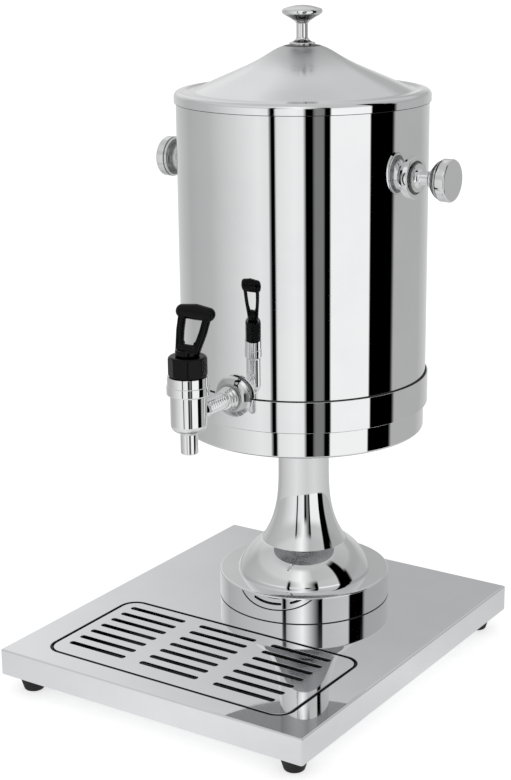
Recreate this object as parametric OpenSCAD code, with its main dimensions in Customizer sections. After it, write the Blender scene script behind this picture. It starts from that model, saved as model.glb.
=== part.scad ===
// Coffee dispenser: an insulated steel tank with a lever tap, carried by a pedestal on a base
// plate with a drip tray. Millimetres, +Z up. The origin is the middle of the base plate's
// outline, on the table. The tap points to -Y and the side knobs to +X and -X.

/* [Base plate] */
// Width of the base plate
plate_w = 300; // [284:1:340]
// Depth of the base plate
plate_d = 350; // [340:1:400]
// Height of the folded skirt round the plate
skirt_h = 22.5; // [21:0.5:35]
// Thickness of the plate's sheet
sheet = 1.2; // [0.8:0.1:2]
// Inside radius of the folds
fold_r = 0.5; // [0.3:0.1:2]
// Width of the lip that turns inwards under the skirt
lip_w = 36; // [32:1:45]
// Width of the stiffener under the pedestal
stiffener_w = 170; // [150:1:200]
// Distance of the stiffener from the drip tray's frame
stiffener_front_gap = 22; // [5:1:40]
// Distance of the stiffener from the skirt at the back
stiffener_back_gap = 36; // [10:1:60]
// Thickness of the stiffener
stiffener_t = 3; // [2:0.5:4]

/* [Feet] */
// Height of a rubber foot
foot_h = 16; // [12:0.5:30]
// Diameter of a foot at the top
foot_top_d = 24; // [20:0.5:30]
// Diameter of a foot where it stands
foot_base_d = 17; // [15:0.5:19]
// Distance of a foot's axis from the plate's edges
foot_inset = 19; // [17:0.5:24]
// Diameter of a foot's screw
foot_screw_d = 5; // [4:0.5:6]

/* [Drip tray] */
// Width of the drip grille
grille_w = 238.4; // [200:0.2:246]
// Depth of the drip grille
grille_d = 119.4; // [116:0.2:124]
// Radius of the grille's corners
grille_r = 14; // [11:0.5:18]
// Distance from the plate's front edge to the grille
grille_front = 22.3; // [18:0.1:26]
// Gap all round the grille
grille_gap = 0.8; // [0.4:0.1:1.2]
// Height of the grille's turned-down edge
grille_h = 4.5; // [3.5:0.1:6]
// Thickness of the grille's sheet
grille_t = 1.5; // [1:0.1:2]
// Radius along the grille's top edge
grille_edge_r = 1.1; // [0.6:0.1:1.4]
// Length of a slot
slot_l = 57.5; // [40:0.5:62]
// Width of a slot
slot_w = 4.8; // [3:0.1:7]
// Distance between slots
slot_pitch = 14.2; // [10:0.1:14.8]
// Distance between the columns of slots
column_pitch = 74.2; // [66:0.1:75]
// Rows of slots
slot_rows = 7; // [3:1:7]
// Columns of slots
slot_columns = 3; // [1:1:3]
// Sideways place of the slot pattern on the grille
slot_shift = -5.8; // [-6.4:0.2:6.4]
// Distance of the slot pattern's middle behind the grille's middle
slot_back = 3.6; // [0:0.1:5]
// Depth of the drip tray under its rim
tray_depth = 11.5; // [8:0.5:12]
// Thickness of the tray's sheet
tray_t = 0.8; // [0.6:0.1:1.2]
// Width of the ledge that carries the tray
ledge_w = 6; // [4:0.5:8]
// Width of the frame's flange under the plate
frame_flange_w = 9; // [6:0.5:12]

/* [Pedestal] */
// Diameter of the round plinth
plinth_d = 152; // [140:1:164]
// Height of the plinth
plinth_h = 24.5; // [18:0.5:32]
// Radius along the plinth's top edge
plinth_edge_r = 1.6; // [0.8:0.1:4]
// Wall of the plinth
plinth_t = 1.5; // [1:0.1:2.5]
// Diameter of the dome at its foot
dome_d = 118; // [104:1:130]
// Height of the straight lip at the dome's foot
dome_lip = 1.8; // [1:0.1:4]
// Height of the dome
dome_h = 28; // [20:0.5:34]
// How far the dome's side bulges from a straight line
dome_bulge = 3; // [1:0.1:5]
// Diameter of the crease between dome and stem
crease_d = 75; // [66:0.5:84]
// Diameter of the stem under the cup
stem_d = 44.8; // [40:0.1:52]
// Height of the stem's flared part
flare_h = 73; // [55:1:90]
// How late the flare opens: higher keeps the stem slim for longer
flare_power = 3.2; // [2:0.1:4.5]
// Height of the stem over the crease
stem_h = 108.5; // [95:0.5:130]
// Wall of the dome and the stem
stem_t = 1.5; // [1:0.1:2.5]

/* [Tie rod] */
// Diameter of the threaded rod that holds the pedestal together
rod_d = 12; // [8:1:14]
// Thickness of the washers on the rod
rod_washer_t = 2; // [1.5:0.5:3]
// Clearance of the rod in its holes, all round
rod_gap = 0.6; // [0.3:0.1:1]

/* [Support cup] */
// Height of the cup that carries the tank
cup_h = 22.6; // [21:0.1:30]
// How far the cup's wall lies inside the tank's wall
cup_step = 1.2; // [0.5:0.1:2]
// Wall of the cup
cup_t = 1.5; // [1:0.1:2.5]
// Radius along the cup's bottom edge
cup_edge_r = 1.8; // [1:0.1:4]
// Diameter of the cup's inner stiffener
cup_stiffener_d = 90; // [60:1:120]

/* [Tank] */
// Diameter of the tank's outer shell
tank_d = 212.4; // [200:0.2:216]
// Height of the outer shell
shell_h = 262.4; // [240:0.2:290]
// Distance of the tank's axis from the plate's back edge
axis_back = 107; // [104:0.5:120]
// Thickness of the outer shell
shell_t = 1; // [0.8:0.1:1.5]
// Height of the belt round the tank's foot
belt_h = 26.3; // [20:0.1:30]
// Thickness of the belt
belt_t = 2.1; // [1.5:0.1:3]
// Width of the space between the shell and the inner vessel
wall_gap = 7.2; // [6.5:0.1:12]
// Thickness of the inner vessel
vessel_t = 0.8; // [0.6:0.1:1.2]
// Height of the inner vessel's floor over the shell's foot
vessel_lift = 10; // [8:0.2:10.4]
// Radius round the inner vessel's floor
vessel_r = 6; // [4:0.5:6.5]
// Depth of the foot that drops into the cup
spigot_h = 14; // [10:0.5:15]
// Gap between the foot and the cup, all round
spigot_gap = 0.9; // [0.5:0.1:1.5]
// Width of the foot's flat ring
spigot_w = 12; // [8:0.5:20]
// Gap under a lift-off piece at rest
seat_gap = 0.3; // [0.2:0.1:0.5]

/* [Side knobs] */
// Height of the knobs over the shell's foot
knob_z = 202; // [150:1:225]
// Length of a side knob from its rosette
knob_l = 32; // [28:0.1:40]
// Diameter of a side knob's head
knob_d = 35; // [30:0.1:42]
// Length of a side knob's neck
knob_neck_l = 12.4; // [10:0.5:16]
// Length of the rim of a side knob's head
knob_rim_l = 10.6; // [6:0.1:11]
// Diameter of a side knob's waist
knob_waist_d = 12.2; // [10:0.1:16]
// Diameter of the step between a side knob's neck and head
knob_step_d = 16.8; // [16.4:0.1:22]
// Diameter of the rosette behind a side knob
rosette_d = 35.4; // [30:0.1:40]
// Thickness of the rosette at its middle
rosette_t = 5.2; // [3:0.1:7]
// Diameter of a knob's stud
stud_d = 6; // [5:0.5:8]

/* [Tap] */
// Distance of the tap's axis from the tank's shell
tap_reach = 65.5; // [55:0.5:80]
// Height of the tap's shank over the shell's foot
tap_z = 27.4; // [26:0.1:30]
// Diameter of the tap's barrel
barrel_d = 29.2; // [27:0.1:32]
// Height of the barrel's straight part over the shank's axis
barrel_up = 18; // [15:0.5:22]
// Depth of the barrel's straight part under the shank's axis
barrel_down = 6.4; // [4:0.1:9]
// Height of the barrel's rounded bottom
barrel_round_h = 6.8; // [5:0.1:9]
// Diameter of the collar round the barrel's mouth
collar_d = 33.4; // [32:0.1:36]
// Height of the collar
collar_h = 15; // [12:0.5:18]
// How far the collar's lower ring stands out
collar_lip = 0.6; // [0.3:0.1:1.2]
// Bore of the barrel
barrel_bore = 22; // [20:0.5:23]
// Thickness of the valve seat
seat_t = 3.2; // [2:0.1:4]
// Diameter of the spout
spout_d = 14.2; // [12:0.1:16]
// Length of the spout under the barrel
spout_l = 18; // [10:0.5:26]
// Bore of the spout
spout_bore = 10; // [8:0.5:11]
// Diameter of the shank
shank_d = 13; // [11:0.5:14]
// Bore of the shank
shank_bore = 8.6; // [6:0.2:9]
// Length of the shank inside the inner vessel
shank_in = 10.5; // [9:0.5:14]
// Diameter of the escutcheon
escutcheon_d = 34.6; // [30:0.2:38]
// Thickness of the escutcheon
escutcheon_t = 6.4; // [4:0.2:8]
// Diameter of the ridged lock nut
lock_nut_d = 20.4; // [18:0.2:24]
// Length of the ridged lock nut
lock_nut_l = 10; // [8:0.5:14]
// Diameter of the outer gasket
gasket_d = 28; // [24:0.5:30]
// Width of the bonnet across its corners
bonnet_d = 32; // [31:0.1:34]
// Height of the bonnet
bonnet_h = 16.2; // [15:0.1:18]
// Radius round the bonnet's top
bonnet_r = 2.6; // [1.5:0.1:3.5]
// Height of the threaded neck inside the bonnet
neck_h = 7; // [5:0.5:8]
// Diameter of the valve stem
valve_d = 4.4; // [4.2:0.1:5]
// Radial running clearance of the valve stem in the bonnet
valve_fit = 0.08; // [0.03:0.01:0.1]
// Travel of the valve
valve_travel = 5; // [3:0.5:5]
// Wire of the valve spring
wire_d = 1; // [0.7:0.1:1.2]

/* [Lever] */
// Diameter of the lever's foot
lever_foot_d = 19.8; // [18:0.2:22]
// Height of the lever's foot
lever_foot_h = 5; // [4.8:0.1:6]
// Height of the finger bar's middle over the bonnet, along the loop
bar_z = 34.8; // [28:0.5:40]
// Length of the finger bar
bar_l = 37; // [30:0.5:42]
// Height of the finger bar
bar_h = 13; // [8:0.2:14]
// Depth of the finger bar
bar_d = 9; // [8:0.2:11]
// Width of a leg of the loop
leg_w = 6.4; // [4:0.1:7]
// Depth of a leg of the loop
leg_d = 7.8; // [7:0.1:9]
// How far a leg bows outwards at its middle
leg_knee = 0.8; // [0:0.1:3]
// Lean of the loop towards the tank
lever_lean = 22; // [5:1:22]
// Diameter of the lever's pin
lever_pin_d = 2.8; // [2.4:0.1:3]
// Radial running clearance of the pin in the lever
pin_fit = 0.06; // [0.03:0.01:0.1]

/* [Lid] */
// How far the lid's skirt reaches down over the tank
lid_overlap = 4.3; // [3:0.1:8]
// Gap between the skirt and the tank, all round
lid_gap = 0.6; // [0.4:0.1:1]
// Thickness of the lid's sheet
lid_t = 1; // [0.8:0.1:1.2]
// Radius of the lid's rounded rim
lid_rim_r = 4.5; // [3.5:0.1:5]
// Height of the rim's crown over the tank
lid_rim_h = 4.9; // [4.6:0.1:6]
// Width of the crown and valley inside the rim
lid_valley_w = 12.3; // [8:0.1:16]
// Rise of the crown and depth of the valley
lid_valley_h = 0.5; // [0.2:0.1:0.6]
// Height of the lid's cone
cone_h = 36.4; // [24:0.2:48]
// Diameter of the flat top of the cone
cone_top_d = 23; // [22.6:0.1:28]
// Depth of the liner that plugs the vessel
liner_depth = 9.3; // [6:0.1:12]
// Gap between the liner and the vessel, all round
liner_gap = 1.4; // [0.8:0.1:2]
// Width of the lid's gasket
lid_gasket_w = 6; // [4:0.5:7]
// Length of the lid's knob with its flange
lid_knob_l = 32.3; // [28:0.1:38]
// Diameter of the lid's knob
lid_knob_d = 34; // [28:0.1:40]
// Height of the dome on the lid's knob
lid_knob_crown = 4.6; // [2:0.1:6]
// Height of the flare under the head of the lid's knob
lid_knob_flare = 13; // [8:0.5:16]
// Diameter of the lid knob's waist
lid_knob_waist_d = 9.8; // [8:0.1:14]
// Diameter of the flange under the lid's knob
lid_flange_d = 21.8; // [18:0.1:22.5]
// Thickness of the flange under the lid's knob
lid_flange_t = 2.2; // [1.5:0.1:3.5]

/* [Hidden] */
$fn = 96;

steel = [0.8, 0.81, 0.82];
dull_steel = [0.6, 0.62, 0.64];
black_rubber = [0.09, 0.09, 0.09];
black_plastic = [0.05, 0.05, 0.055];
silicone = [0.85, 0.85, 0.8];
foam = [0.93, 0.88, 0.7];

// Extra length of a cutting tool past the face that it cuts
past = 1;
// Radial play of a screw or a sleeve in its hole
play = 0.1;

// Heights of the stand
plate_top = foot_h + skirt_h;
plinth_top = plate_top + plinth_h;
crease_z = plinth_top + dome_h;
cup_z = crease_z + stem_h;
cup_top = cup_z + cup_h;
rod_hole_r = rod_d / 2 + rod_gap;
rod_nut_h = rod_d / 2;
rod_nut_r = rod_d * 0.92;
rod_washer_r = rod_d * 1.15;
cup_stiffener_t = 2;
tie_bottom = plate_top - sheet - stiffener_t - rod_washer_t - rod_nut_h - 2;
tie_top = cup_z + cup_t + cup_stiffener_t + rod_washer_t + rod_nut_h + 1.5;

// The tank's axis and heights
axis_y = plate_d / 2 - axis_back;
tank_r = tank_d / 2;
shell_z = cup_top + seat_gap;
shell_top = shell_z + shell_h;
tank_top = shell_top + vessel_t;
shell_in_r = tank_r - shell_t;
vessel_out_r = shell_in_r - wall_gap;
vessel_in_r = vessel_out_r - vessel_t;
vessel_z = shell_z + vessel_lift;
cup_r = tank_r - cup_step;
spigot_r = cup_r - cup_t - spigot_gap;
foam_gap = 0.1;

// The drip tray's place
grille_y = -plate_d / 2 + grille_front + grille_d / 2;
hole_w = grille_w + 2 * grille_gap;
hole_d = grille_d + 2 * grille_gap;
hole_r = grille_r + grille_gap;
tray_rim_z = plate_top - grille_h - seat_gap;
ledge_z = tray_rim_z - tray_t - seat_gap;
tray_wall_in = ledge_w - grille_gap + 0.6;
stiffener_front = grille_y + hole_d / 2 + frame_flange_w + stiffener_front_gap;
stiffener_back = plate_d / 2 - sheet - stiffener_back_gap;

// The tap's place
tap_y = axis_y - tank_r - tap_reach;
shank_z = shell_z + tap_z;
barrel_top = shank_z + barrel_up + collar_h;
barrel_z = shank_z - barrel_down - barrel_round_h;
seat_z = barrel_z + seat_t;
bonnet_z = barrel_top + 0.2;
bonnet_top = bonnet_z + bonnet_h;
bonnet_wall = 3;
bonnet_turn = 36;
neck_r = barrel_bore / 2 + 1.8;
seal_t = 1.2;
lever_z = bonnet_top + seat_gap;
pin_up = 2.3;
pin_z = lever_z + pin_up;
stem_head = 1.9;
valve_collar_z = barrel_top;
valve_collar_t = 1.5;
escutcheon_back = tank_r + belt_t + 0.1;
lock_nut_back = escutcheon_back + escutcheon_t;
lever_swing = 25;

// The side knobs' place
knob_axis_z = shell_z + knob_z;
knob_nut_h = 3.6;
knob_washer_t = 1.4;

// The lid's place
lid_r = tank_r + lid_gap + lid_t;
lid_crown_z = tank_top + lid_rim_h;
cone_top_z = lid_crown_z + cone_h;
liner_flange_z = tank_top + 2.3;
liner_r = vessel_in_r - liner_gap;
lid_screw_r = 2.5;

// Points on an arc round c, from angle a to angle b
function arc(c, r, a, b, n = 8) =
    [for (i = [0:n]) c + r * [cos(a + (b - a) * i / n), sin(a + (b - a) * i / n)]];

// Points on an arc from p to q that stands s to the right of the straight line
function bow(p, q, s, n = 10) =
    let (half = norm(q - p) / 2, r = (half * half + s * s) / (2 * s),
         u = (q - p) / (2 * half), right = [u[1], -u[0]],
         c = (p + q) / 2 + right * (s - r), a = asin(half / r))
    [for (i = [0:n]) let (t = -a + 2 * a * i / n) c + r * (right * cos(t) + u * sin(t))];

function unit(v) = v / norm(v);
function left(v) = [-v[1], v[0]];

// A path moved to its left by t, with mitred corners
function beside(path, t) =
    let (last = len(path) - 1)
    [for (i = [0:last])
        let (d1 = unit(path[max(i, 1)] - path[max(i, 1) - 1]),
             d2 = unit(path[min(i, last - 1) + 1] - path[min(i, last - 1)]),
             m = unit(left(d1) + left(d2)))
        path[i] + m * t / (m * left(d1))];

function backwards(path) = [for (i = [len(path) - 1:-1:0]) path[i]];

// A sheet of thickness t to the left of its path, turned round the Z axis
module spun_sheet(path, t) {
    rotate_extrude() polygon(concat(path, backwards(beside(path, t))));
}

module rounded_rect(w, d, r) {
    square([w - 2 * r, d], center = true);
    square([w, d - 2 * r], center = true);
    for (x = [-1, 1], y = [-1, 1])
        translate([x * (w / 2 - r), y * (d / 2 - r)]) circle(r = r);
}

module folded_end(w, h, r) {
    translate([-w / 2, 0]) square([w, h - r]);
    translate([-w / 2 + r, 0]) square([w - 2 * r, h]);
    for (x = [-1, 1]) translate([x * (w / 2 - r), h - r]) circle(r = r);
}

// A block with round folds along its top edges and its upright edges
module folded_block(w, d, h, r) {
    intersection() {
        rotate([90, 0, 0]) linear_extrude(d + past, center = true) folded_end(w, h, r);
        rotate([90, 0, 90]) linear_extrude(w + past, center = true) folded_end(d, h, r);
        linear_extrude(h) rounded_rect(w, d, r);
    }
}

// A plate with round corners and a round top edge
module soft_plate(w, d, r, h, e) {
    linear_extrude(h) rounded_rect(w - 2 * e, d - 2 * e, r - e);
    linear_extrude(h - e) rounded_rect(w, d, r);
    for (x = [-1, 1]) translate([x * (w / 2 - e), 0, h - e])
        rotate([90, 0, 0]) cylinder(r = e, h = d - 2 * r, center = true, $fn = 32);
    for (y = [-1, 1]) translate([0, y * (d / 2 - e), h - e])
        rotate([0, 90, 0]) cylinder(r = e, h = w - 2 * r, center = true, $fn = 32);
    for (q = [0:3]) {
        x = (q == 0 || q == 3) ? 1 : -1;
        y = q < 2 ? 1 : -1;
        translate([x * (w / 2 - r), y * (d / 2 - r), h - e]) rotate(q * 90)
            rotate_extrude(angle = 90) translate([r - e, 0]) circle(r = e, $fn = 32);
    }
}

module at_axis(z = 0) { translate([0, axis_y, z]) children(); }
module at_tap(z = 0) { translate([0, tap_y, z]) children(); }
module at_feet() {
    for (x = [-1, 1], y = [-1, 1])
        translate([x * (plate_w / 2 - foot_inset), y * (plate_d / 2 - foot_inset), 0]) children();
}
// Turns +Z to +X on the right side and to -X on the left, at the knobs' height
module at_knob(side) { at_axis(knob_axis_z) rotate([0, side * 90, 0]) children(); }
// Turns +Z to -Y, so that z counts outwards from the tank's axis along the tap's shank
module at_shank() { at_axis(shank_z) rotate([90, 0, 0]) children(); }
module tank_solid(r) { at_axis(shell_z - past) cylinder(r = r, h = shell_h + 2 * past, $fn = 180); }

module hex_nut(r, h, bore_r) {
    difference() {
        intersection() {
            cylinder(r = r, h = h, $fn = 6);
            rotate_extrude() polygon([[0, 0], [r * 0.9, 0], [r, r * 0.06], [r, h - r * 0.06],
                [r * 0.9, h], [0, h]]);
        }
        translate([0, 0, -past]) cylinder(r = bore_r, h = h + 2 * past);
    }
}

function ease(u) = u * u * (3 - 2 * u);

module base_plate() {
    color(steel) difference() {
        translate([0, 0, foot_h]) difference() {
            folded_block(plate_w, plate_d, skirt_h, fold_r + sheet);
            translate([0, 0, sheet]) folded_block(plate_w - 2 * sheet, plate_d - 2 * sheet,
                skirt_h - 2 * sheet, fold_r);
            translate([0, 0, -past]) linear_extrude(sheet + 2 * past)
                rounded_rect(plate_w - 2 * lip_w, plate_d - 2 * lip_w, 10);
        }
        translate([0, grille_y, plate_top - sheet - past]) linear_extrude(sheet + 2 * past)
            rounded_rect(hole_w, hole_d, hole_r);
        at_axis(plate_top - sheet - past) cylinder(r = rod_hole_r, h = sheet + 2 * past);
        at_feet() translate([0, 0, foot_h - past])
            cylinder(r = foot_screw_d / 2 + play, h = sheet + 2 * past, $fn = 48);
    }
}

module base_stiffener() {
    color(dull_steel) difference() {
        translate([0, (stiffener_front + stiffener_back) / 2, plate_top - sheet - stiffener_t])
            linear_extrude(stiffener_t)
            rounded_rect(stiffener_w, stiffener_back - stiffener_front, stiffener_w / 20);
        at_axis(plate_top - sheet - stiffener_t - past)
            cylinder(r = rod_hole_r, h = stiffener_t + 2 * past);
    }
}

module foot(x, y) {
    head_r = foot_screw_d / 2 + 2.5;
    top_r = foot_top_d / 2;
    base_r = foot_base_d / 2;
    straight = foot_h * 0.2;
    soft = 1.2;
    color(black_rubber)
    translate([x * (plate_w / 2 - foot_inset), y * (plate_d / 2 - foot_inset), 0])
    rotate_extrude() polygon(concat(
        [[head_r, 0]],
        arc([base_r - soft, soft], soft, -90, -10, 5),
        [[top_r, foot_h - straight], [top_r, foot_h], [foot_screw_d / 2 + play, foot_h],
         [foot_screw_d / 2 + play, foot_h * 0.35], [head_r, foot_h * 0.35]]));
}

module foot_screws() {
    head_r = foot_screw_d / 2 + 2;
    head_z = foot_h * 0.35;
    color(dull_steel) at_feet() {
        translate([0, 0, head_z]) cylinder(r = foot_screw_d / 2,
            h = foot_h - head_z + sheet + foot_screw_d, $fn = 48);
        difference() {
            translate([0, 0, head_z - 3]) cylinder(r = head_r, h = 3, $fn = 48);
            translate([0, 0, head_z - 3 - past]) cylinder(r = 1.6, h = 1.8 + past, $fn = 6);
        }
    }
}

module foot_nuts() {
    color(dull_steel) at_feet() translate([0, 0, foot_h + sheet])
        hex_nut(foot_screw_d * 0.92, foot_screw_d * 0.8, foot_screw_d / 2 + 0.02);
}

module tray_frame() {
    color(dull_steel) translate([0, grille_y, 0]) {
        translate([0, 0, plate_top - 2 * sheet]) linear_extrude(sheet) difference() {
            rounded_rect(hole_w + 2 * frame_flange_w, hole_d + 2 * frame_flange_w,
                hole_r + frame_flange_w);
            rounded_rect(hole_w, hole_d, hole_r);
        }
        translate([0, 0, ledge_z - sheet]) linear_extrude(plate_top - sheet - ledge_z) difference() {
            rounded_rect(hole_w + 2 * sheet, hole_d + 2 * sheet, hole_r + sheet);
            rounded_rect(hole_w, hole_d, hole_r);
        }
        translate([0, 0, ledge_z - sheet]) linear_extrude(sheet) difference() {
            rounded_rect(hole_w + sheet, hole_d + sheet, hole_r + sheet / 2);
            rounded_rect(hole_w - 2 * ledge_w, hole_d - 2 * ledge_w, hole_r - ledge_w);
        }
    }
}

module drip_tray() {
    in = tray_wall_in;
    w = grille_w - 2 * in;
    d = grille_d - 2 * in;
    r = grille_r - in;
    color(steel) translate([0, grille_y, tray_rim_z - tray_t]) difference() {
        union() {
            linear_extrude(tray_t) rounded_rect(grille_w, grille_d, grille_r);
            translate([0, 0, tray_t - tray_depth]) linear_extrude(tray_depth) rounded_rect(w, d, r);
        }
        translate([0, 0, 2 * tray_t - tray_depth]) linear_extrude(tray_depth + past)
            rounded_rect(w - 2 * tray_t, d - 2 * tray_t, r - tray_t);
    }
}

module slot() {
    square([slot_l - slot_w, slot_w], center = true);
    for (x = [-1, 1]) translate([x * (slot_l - slot_w) / 2, 0]) circle(d = slot_w, $fn = 48);
}

module drip_grille() {
    color(steel) translate([0, grille_y, plate_top - grille_h]) difference() {
        soft_plate(grille_w, grille_d, grille_r, grille_h, grille_edge_r);
        translate([0, 0, -past]) linear_extrude(grille_h - grille_t + past)
            rounded_rect(grille_w - 2 * grille_t, grille_d - 2 * grille_t, grille_r - grille_t);
        for (i = [0:slot_columns - 1], j = [0:slot_rows - 1])
            translate([slot_shift + (i - (slot_columns - 1) / 2) * column_pitch,
                slot_back + (j - (slot_rows - 1) / 2) * slot_pitch, grille_h - grille_t - past])
                linear_extrude(grille_t + 2 * past) slot();
    }
}

module plinth() {
    r = plinth_d / 2;
    e = plinth_edge_r;
    color(steel) at_axis(plate_top) spun_sheet(concat(
        [[r, 0]],
        arc([r - e, plinth_h - e], e, 0, 90, 6),
        [[rod_hole_r, plinth_h]]), plinth_t);
}

module dome() {
    r = dome_d / 2;
    color(steel) at_axis(plinth_top) spun_sheet(concat(
        [[r, 0]],
        bow([r, dome_lip], [crease_d / 2, dome_h], dome_bulge),
        [[rod_hole_r, dome_h]]), stem_t);
}

module stem() {
    r1 = crease_d / 2;
    r2 = stem_d / 2;
    n = 18;
    color(steel) at_axis(crease_z) intersection() {
        spun_sheet(concat(
            [for (i = [0:n]) let (u = 1 - i / n)
                [r2 + (r1 - r2) * pow(u, flare_power), flare_h * (1 - u)]],
            [[r2, stem_h], [rod_hole_r, stem_h]]), stem_t);
        cylinder(r = r1 + past, h = stem_h);
    }
}

module tie_rod() {
    color(dull_steel) at_axis(tie_bottom) cylinder(d = rod_d, h = tie_top - tie_bottom);
}

module rod_washers() {
    color(dull_steel)
    for (z = [plate_top - sheet - stiffener_t - rod_washer_t, cup_z + cup_t + cup_stiffener_t])
        at_axis(z) difference() {
            cylinder(r = rod_washer_r, h = rod_washer_t);
            translate([0, 0, -past]) cylinder(r = rod_hole_r, h = rod_washer_t + 2 * past);
        }
}

module rod_nuts() {
    color(dull_steel)
    for (z = [plate_top - sheet - stiffener_t - rod_washer_t - rod_nut_h,
              cup_z + cup_t + cup_stiffener_t + rod_washer_t])
        at_axis(z) hex_nut(rod_nut_r, rod_nut_h, rod_d / 2 + 0.02);
}

module support_cup() {
    e = cup_edge_r;
    color(steel) at_axis(cup_z) spun_sheet(concat(
        [[rod_hole_r, 0]],
        arc([cup_r - e, e], e, -90, 0, 6),
        [[cup_r, cup_h]]), cup_t);
}

module cup_stiffener() {
    color(dull_steel) at_axis(cup_z + cup_t) difference() {
        cylinder(d = cup_stiffener_d, h = cup_stiffener_t);
        translate([0, 0, -past]) cylinder(r = rod_hole_r, h = cup_stiffener_t + 2 * past);
    }
}

module tank_shell() {
    color(steel) difference() {
        at_axis(shell_z) difference() {
            cylinder(r = tank_r, h = shell_h, $fn = 180);
            translate([0, 0, -past]) cylinder(r = shell_in_r, h = shell_h + 2 * past, $fn = 180);
        }
        at_shank() cylinder(r = shank_d / 2 + play, h = tank_r + past);
        for (s = [-1, 1]) at_knob(s) cylinder(r = stud_d / 2 + play, h = tank_r + past, $fn = 48);
    }
}

module tank_belt() {
    r = tank_r + belt_t;
    e = 0.6;
    color(steel) difference() {
        at_axis(shell_z) rotate_extrude($fn = 180) polygon(concat(
            [[tank_r, 0]],
            arc([r - e, e], e, -90, 0, 4),
            arc([r - e, belt_h - e], e, 0, 90, 4),
            [[tank_r, belt_h]]));
        at_shank() cylinder(r = gasket_d / 2 + 2 * play, h = r + past);
    }
}

module tank_foot() {
    inner = spigot_r - spigot_w;
    color(dull_steel) at_axis(shell_z) spun_sheet([
        [0, 0], [inner, 0], [inner, -spigot_h], [spigot_r, -spigot_h], [spigot_r, 0],
        [shell_in_r, 0], [shell_in_r, vessel_lift * 0.6]], 1.2);
}

module insulation() {
    out_r = shell_in_r - foam_gap;
    in_r = vessel_out_r + foam_gap;
    bottom = shell_z + 1.2 + foam_gap;
    ledge = 1.2 + foam_gap;
    lip_z = shell_z + vessel_lift * 0.6 + foam_gap;
    floor_z = vessel_z - foam_gap;
    color(foam) difference() {
        at_axis(0) rotate_extrude() polygon([
            [0, bottom], [out_r - ledge, bottom], [out_r - ledge, lip_z], [out_r, lip_z],
            [out_r, shell_top - 0.5], [in_r, shell_top - 0.5], [in_r, floor_z], [0, floor_z]]);
        at_shank() cylinder(r = shank_d / 2 + 0.4, h = tank_r + past);
        for (s = [-1, 1]) at_knob(s) cylinder(r = stud_d * 1.6, h = tank_r + past);
    }
}

module inner_vessel() {
    r = vessel_out_r;
    color(steel) difference() {
        at_axis(vessel_z) spun_sheet(concat(
            [[0, 0]],
            arc([r - vessel_r, vessel_r], vessel_r, -90, 0, 8),
            [[r, shell_top - vessel_z], [tank_r, shell_top - vessel_z]]), vessel_t);
        at_shank() cylinder(r = shank_d / 2 + play, h = tank_r);
    }
}

module side_knob(s) {
    r = knob_d / 2;
    waist = knob_waist_d / 2;
    step = knob_step_d / 2;
    rim_z = knob_l - knob_rim_l;
    soft = 2;
    crown = 0.9;
    color(steel) at_knob(s) translate([0, 0, tank_r + rosette_t]) difference() {
        rotate_extrude() polygon(concat(
            [[0, 0], [waist + 2.6, 0]],
            [for (i = [1:6]) let (u = i / 6) [waist + 2.6 * pow(1 - u, 2.2), 4.4 * u]],
            [[waist, knob_neck_l - 2], [waist + 0.5, knob_neck_l - 0.4], [step, knob_neck_l]],
            [for (i = [0:6]) let (u = i / 6)
                [step + (r - 1.4 - step) * sin(90 * u), knob_neck_l + 0.6 + (rim_z - knob_neck_l - 0.6) * u]],
            [[r - 1, rim_z + 0.3]],
            arc([r - soft, knob_l - crown - soft], soft, 0, 80, 6),
            [for (i = [1:5]) let (u = 1 - i / 5) [(r - soft) * u, knob_l - crown * u * u]]));
        translate([0, 0, -past]) cylinder(r = stud_d / 2 + 0.02, h = knob_l * 0.5 + past, $fn = 48);
    }
}

module knob_rosette(s) {
    r = rosette_d / 2;
    e = 1.2;
    color(steel) difference() {
        at_knob(s) translate([0, 0, tank_r]) rotate_extrude() polygon(concat(
            [[stud_d / 2 + play, -4], [r, -4]],
            arc([r - e, rosette_t - e], e, 0, 90, 5),
            [[stud_d / 2 + play, rosette_t]]));
        tank_solid(tank_r);
    }
}

module knob_studs() {
    color(dull_steel) for (s = [-1, 1]) at_knob(s)
        translate([0, 0, vessel_out_r + 1]) cylinder(d = stud_d,
            h = tank_r + rosette_t + knob_l * 0.48 - vessel_out_r - 1, $fn = 48);
}

module knob_washers() {
    color(dull_steel) intersection() {
        for (s = [-1, 1]) at_knob(s) translate([0, 0, shell_in_r - knob_washer_t]) difference() {
            cylinder(r = stud_d * 1.3, h = knob_washer_t + past);
            translate([0, 0, -past]) cylinder(r = stud_d / 2 + play, h = knob_washer_t + 3 * past);
        }
        tank_solid(shell_in_r);
    }
}

module knob_nuts() {
    color(dull_steel) for (s = [-1, 1])
        at_knob(s) translate([0, 0, shell_in_r - knob_washer_t - knob_nut_h])
            hex_nut(stud_d * 0.92, knob_nut_h, stud_d / 2 + 0.02);
}

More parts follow.
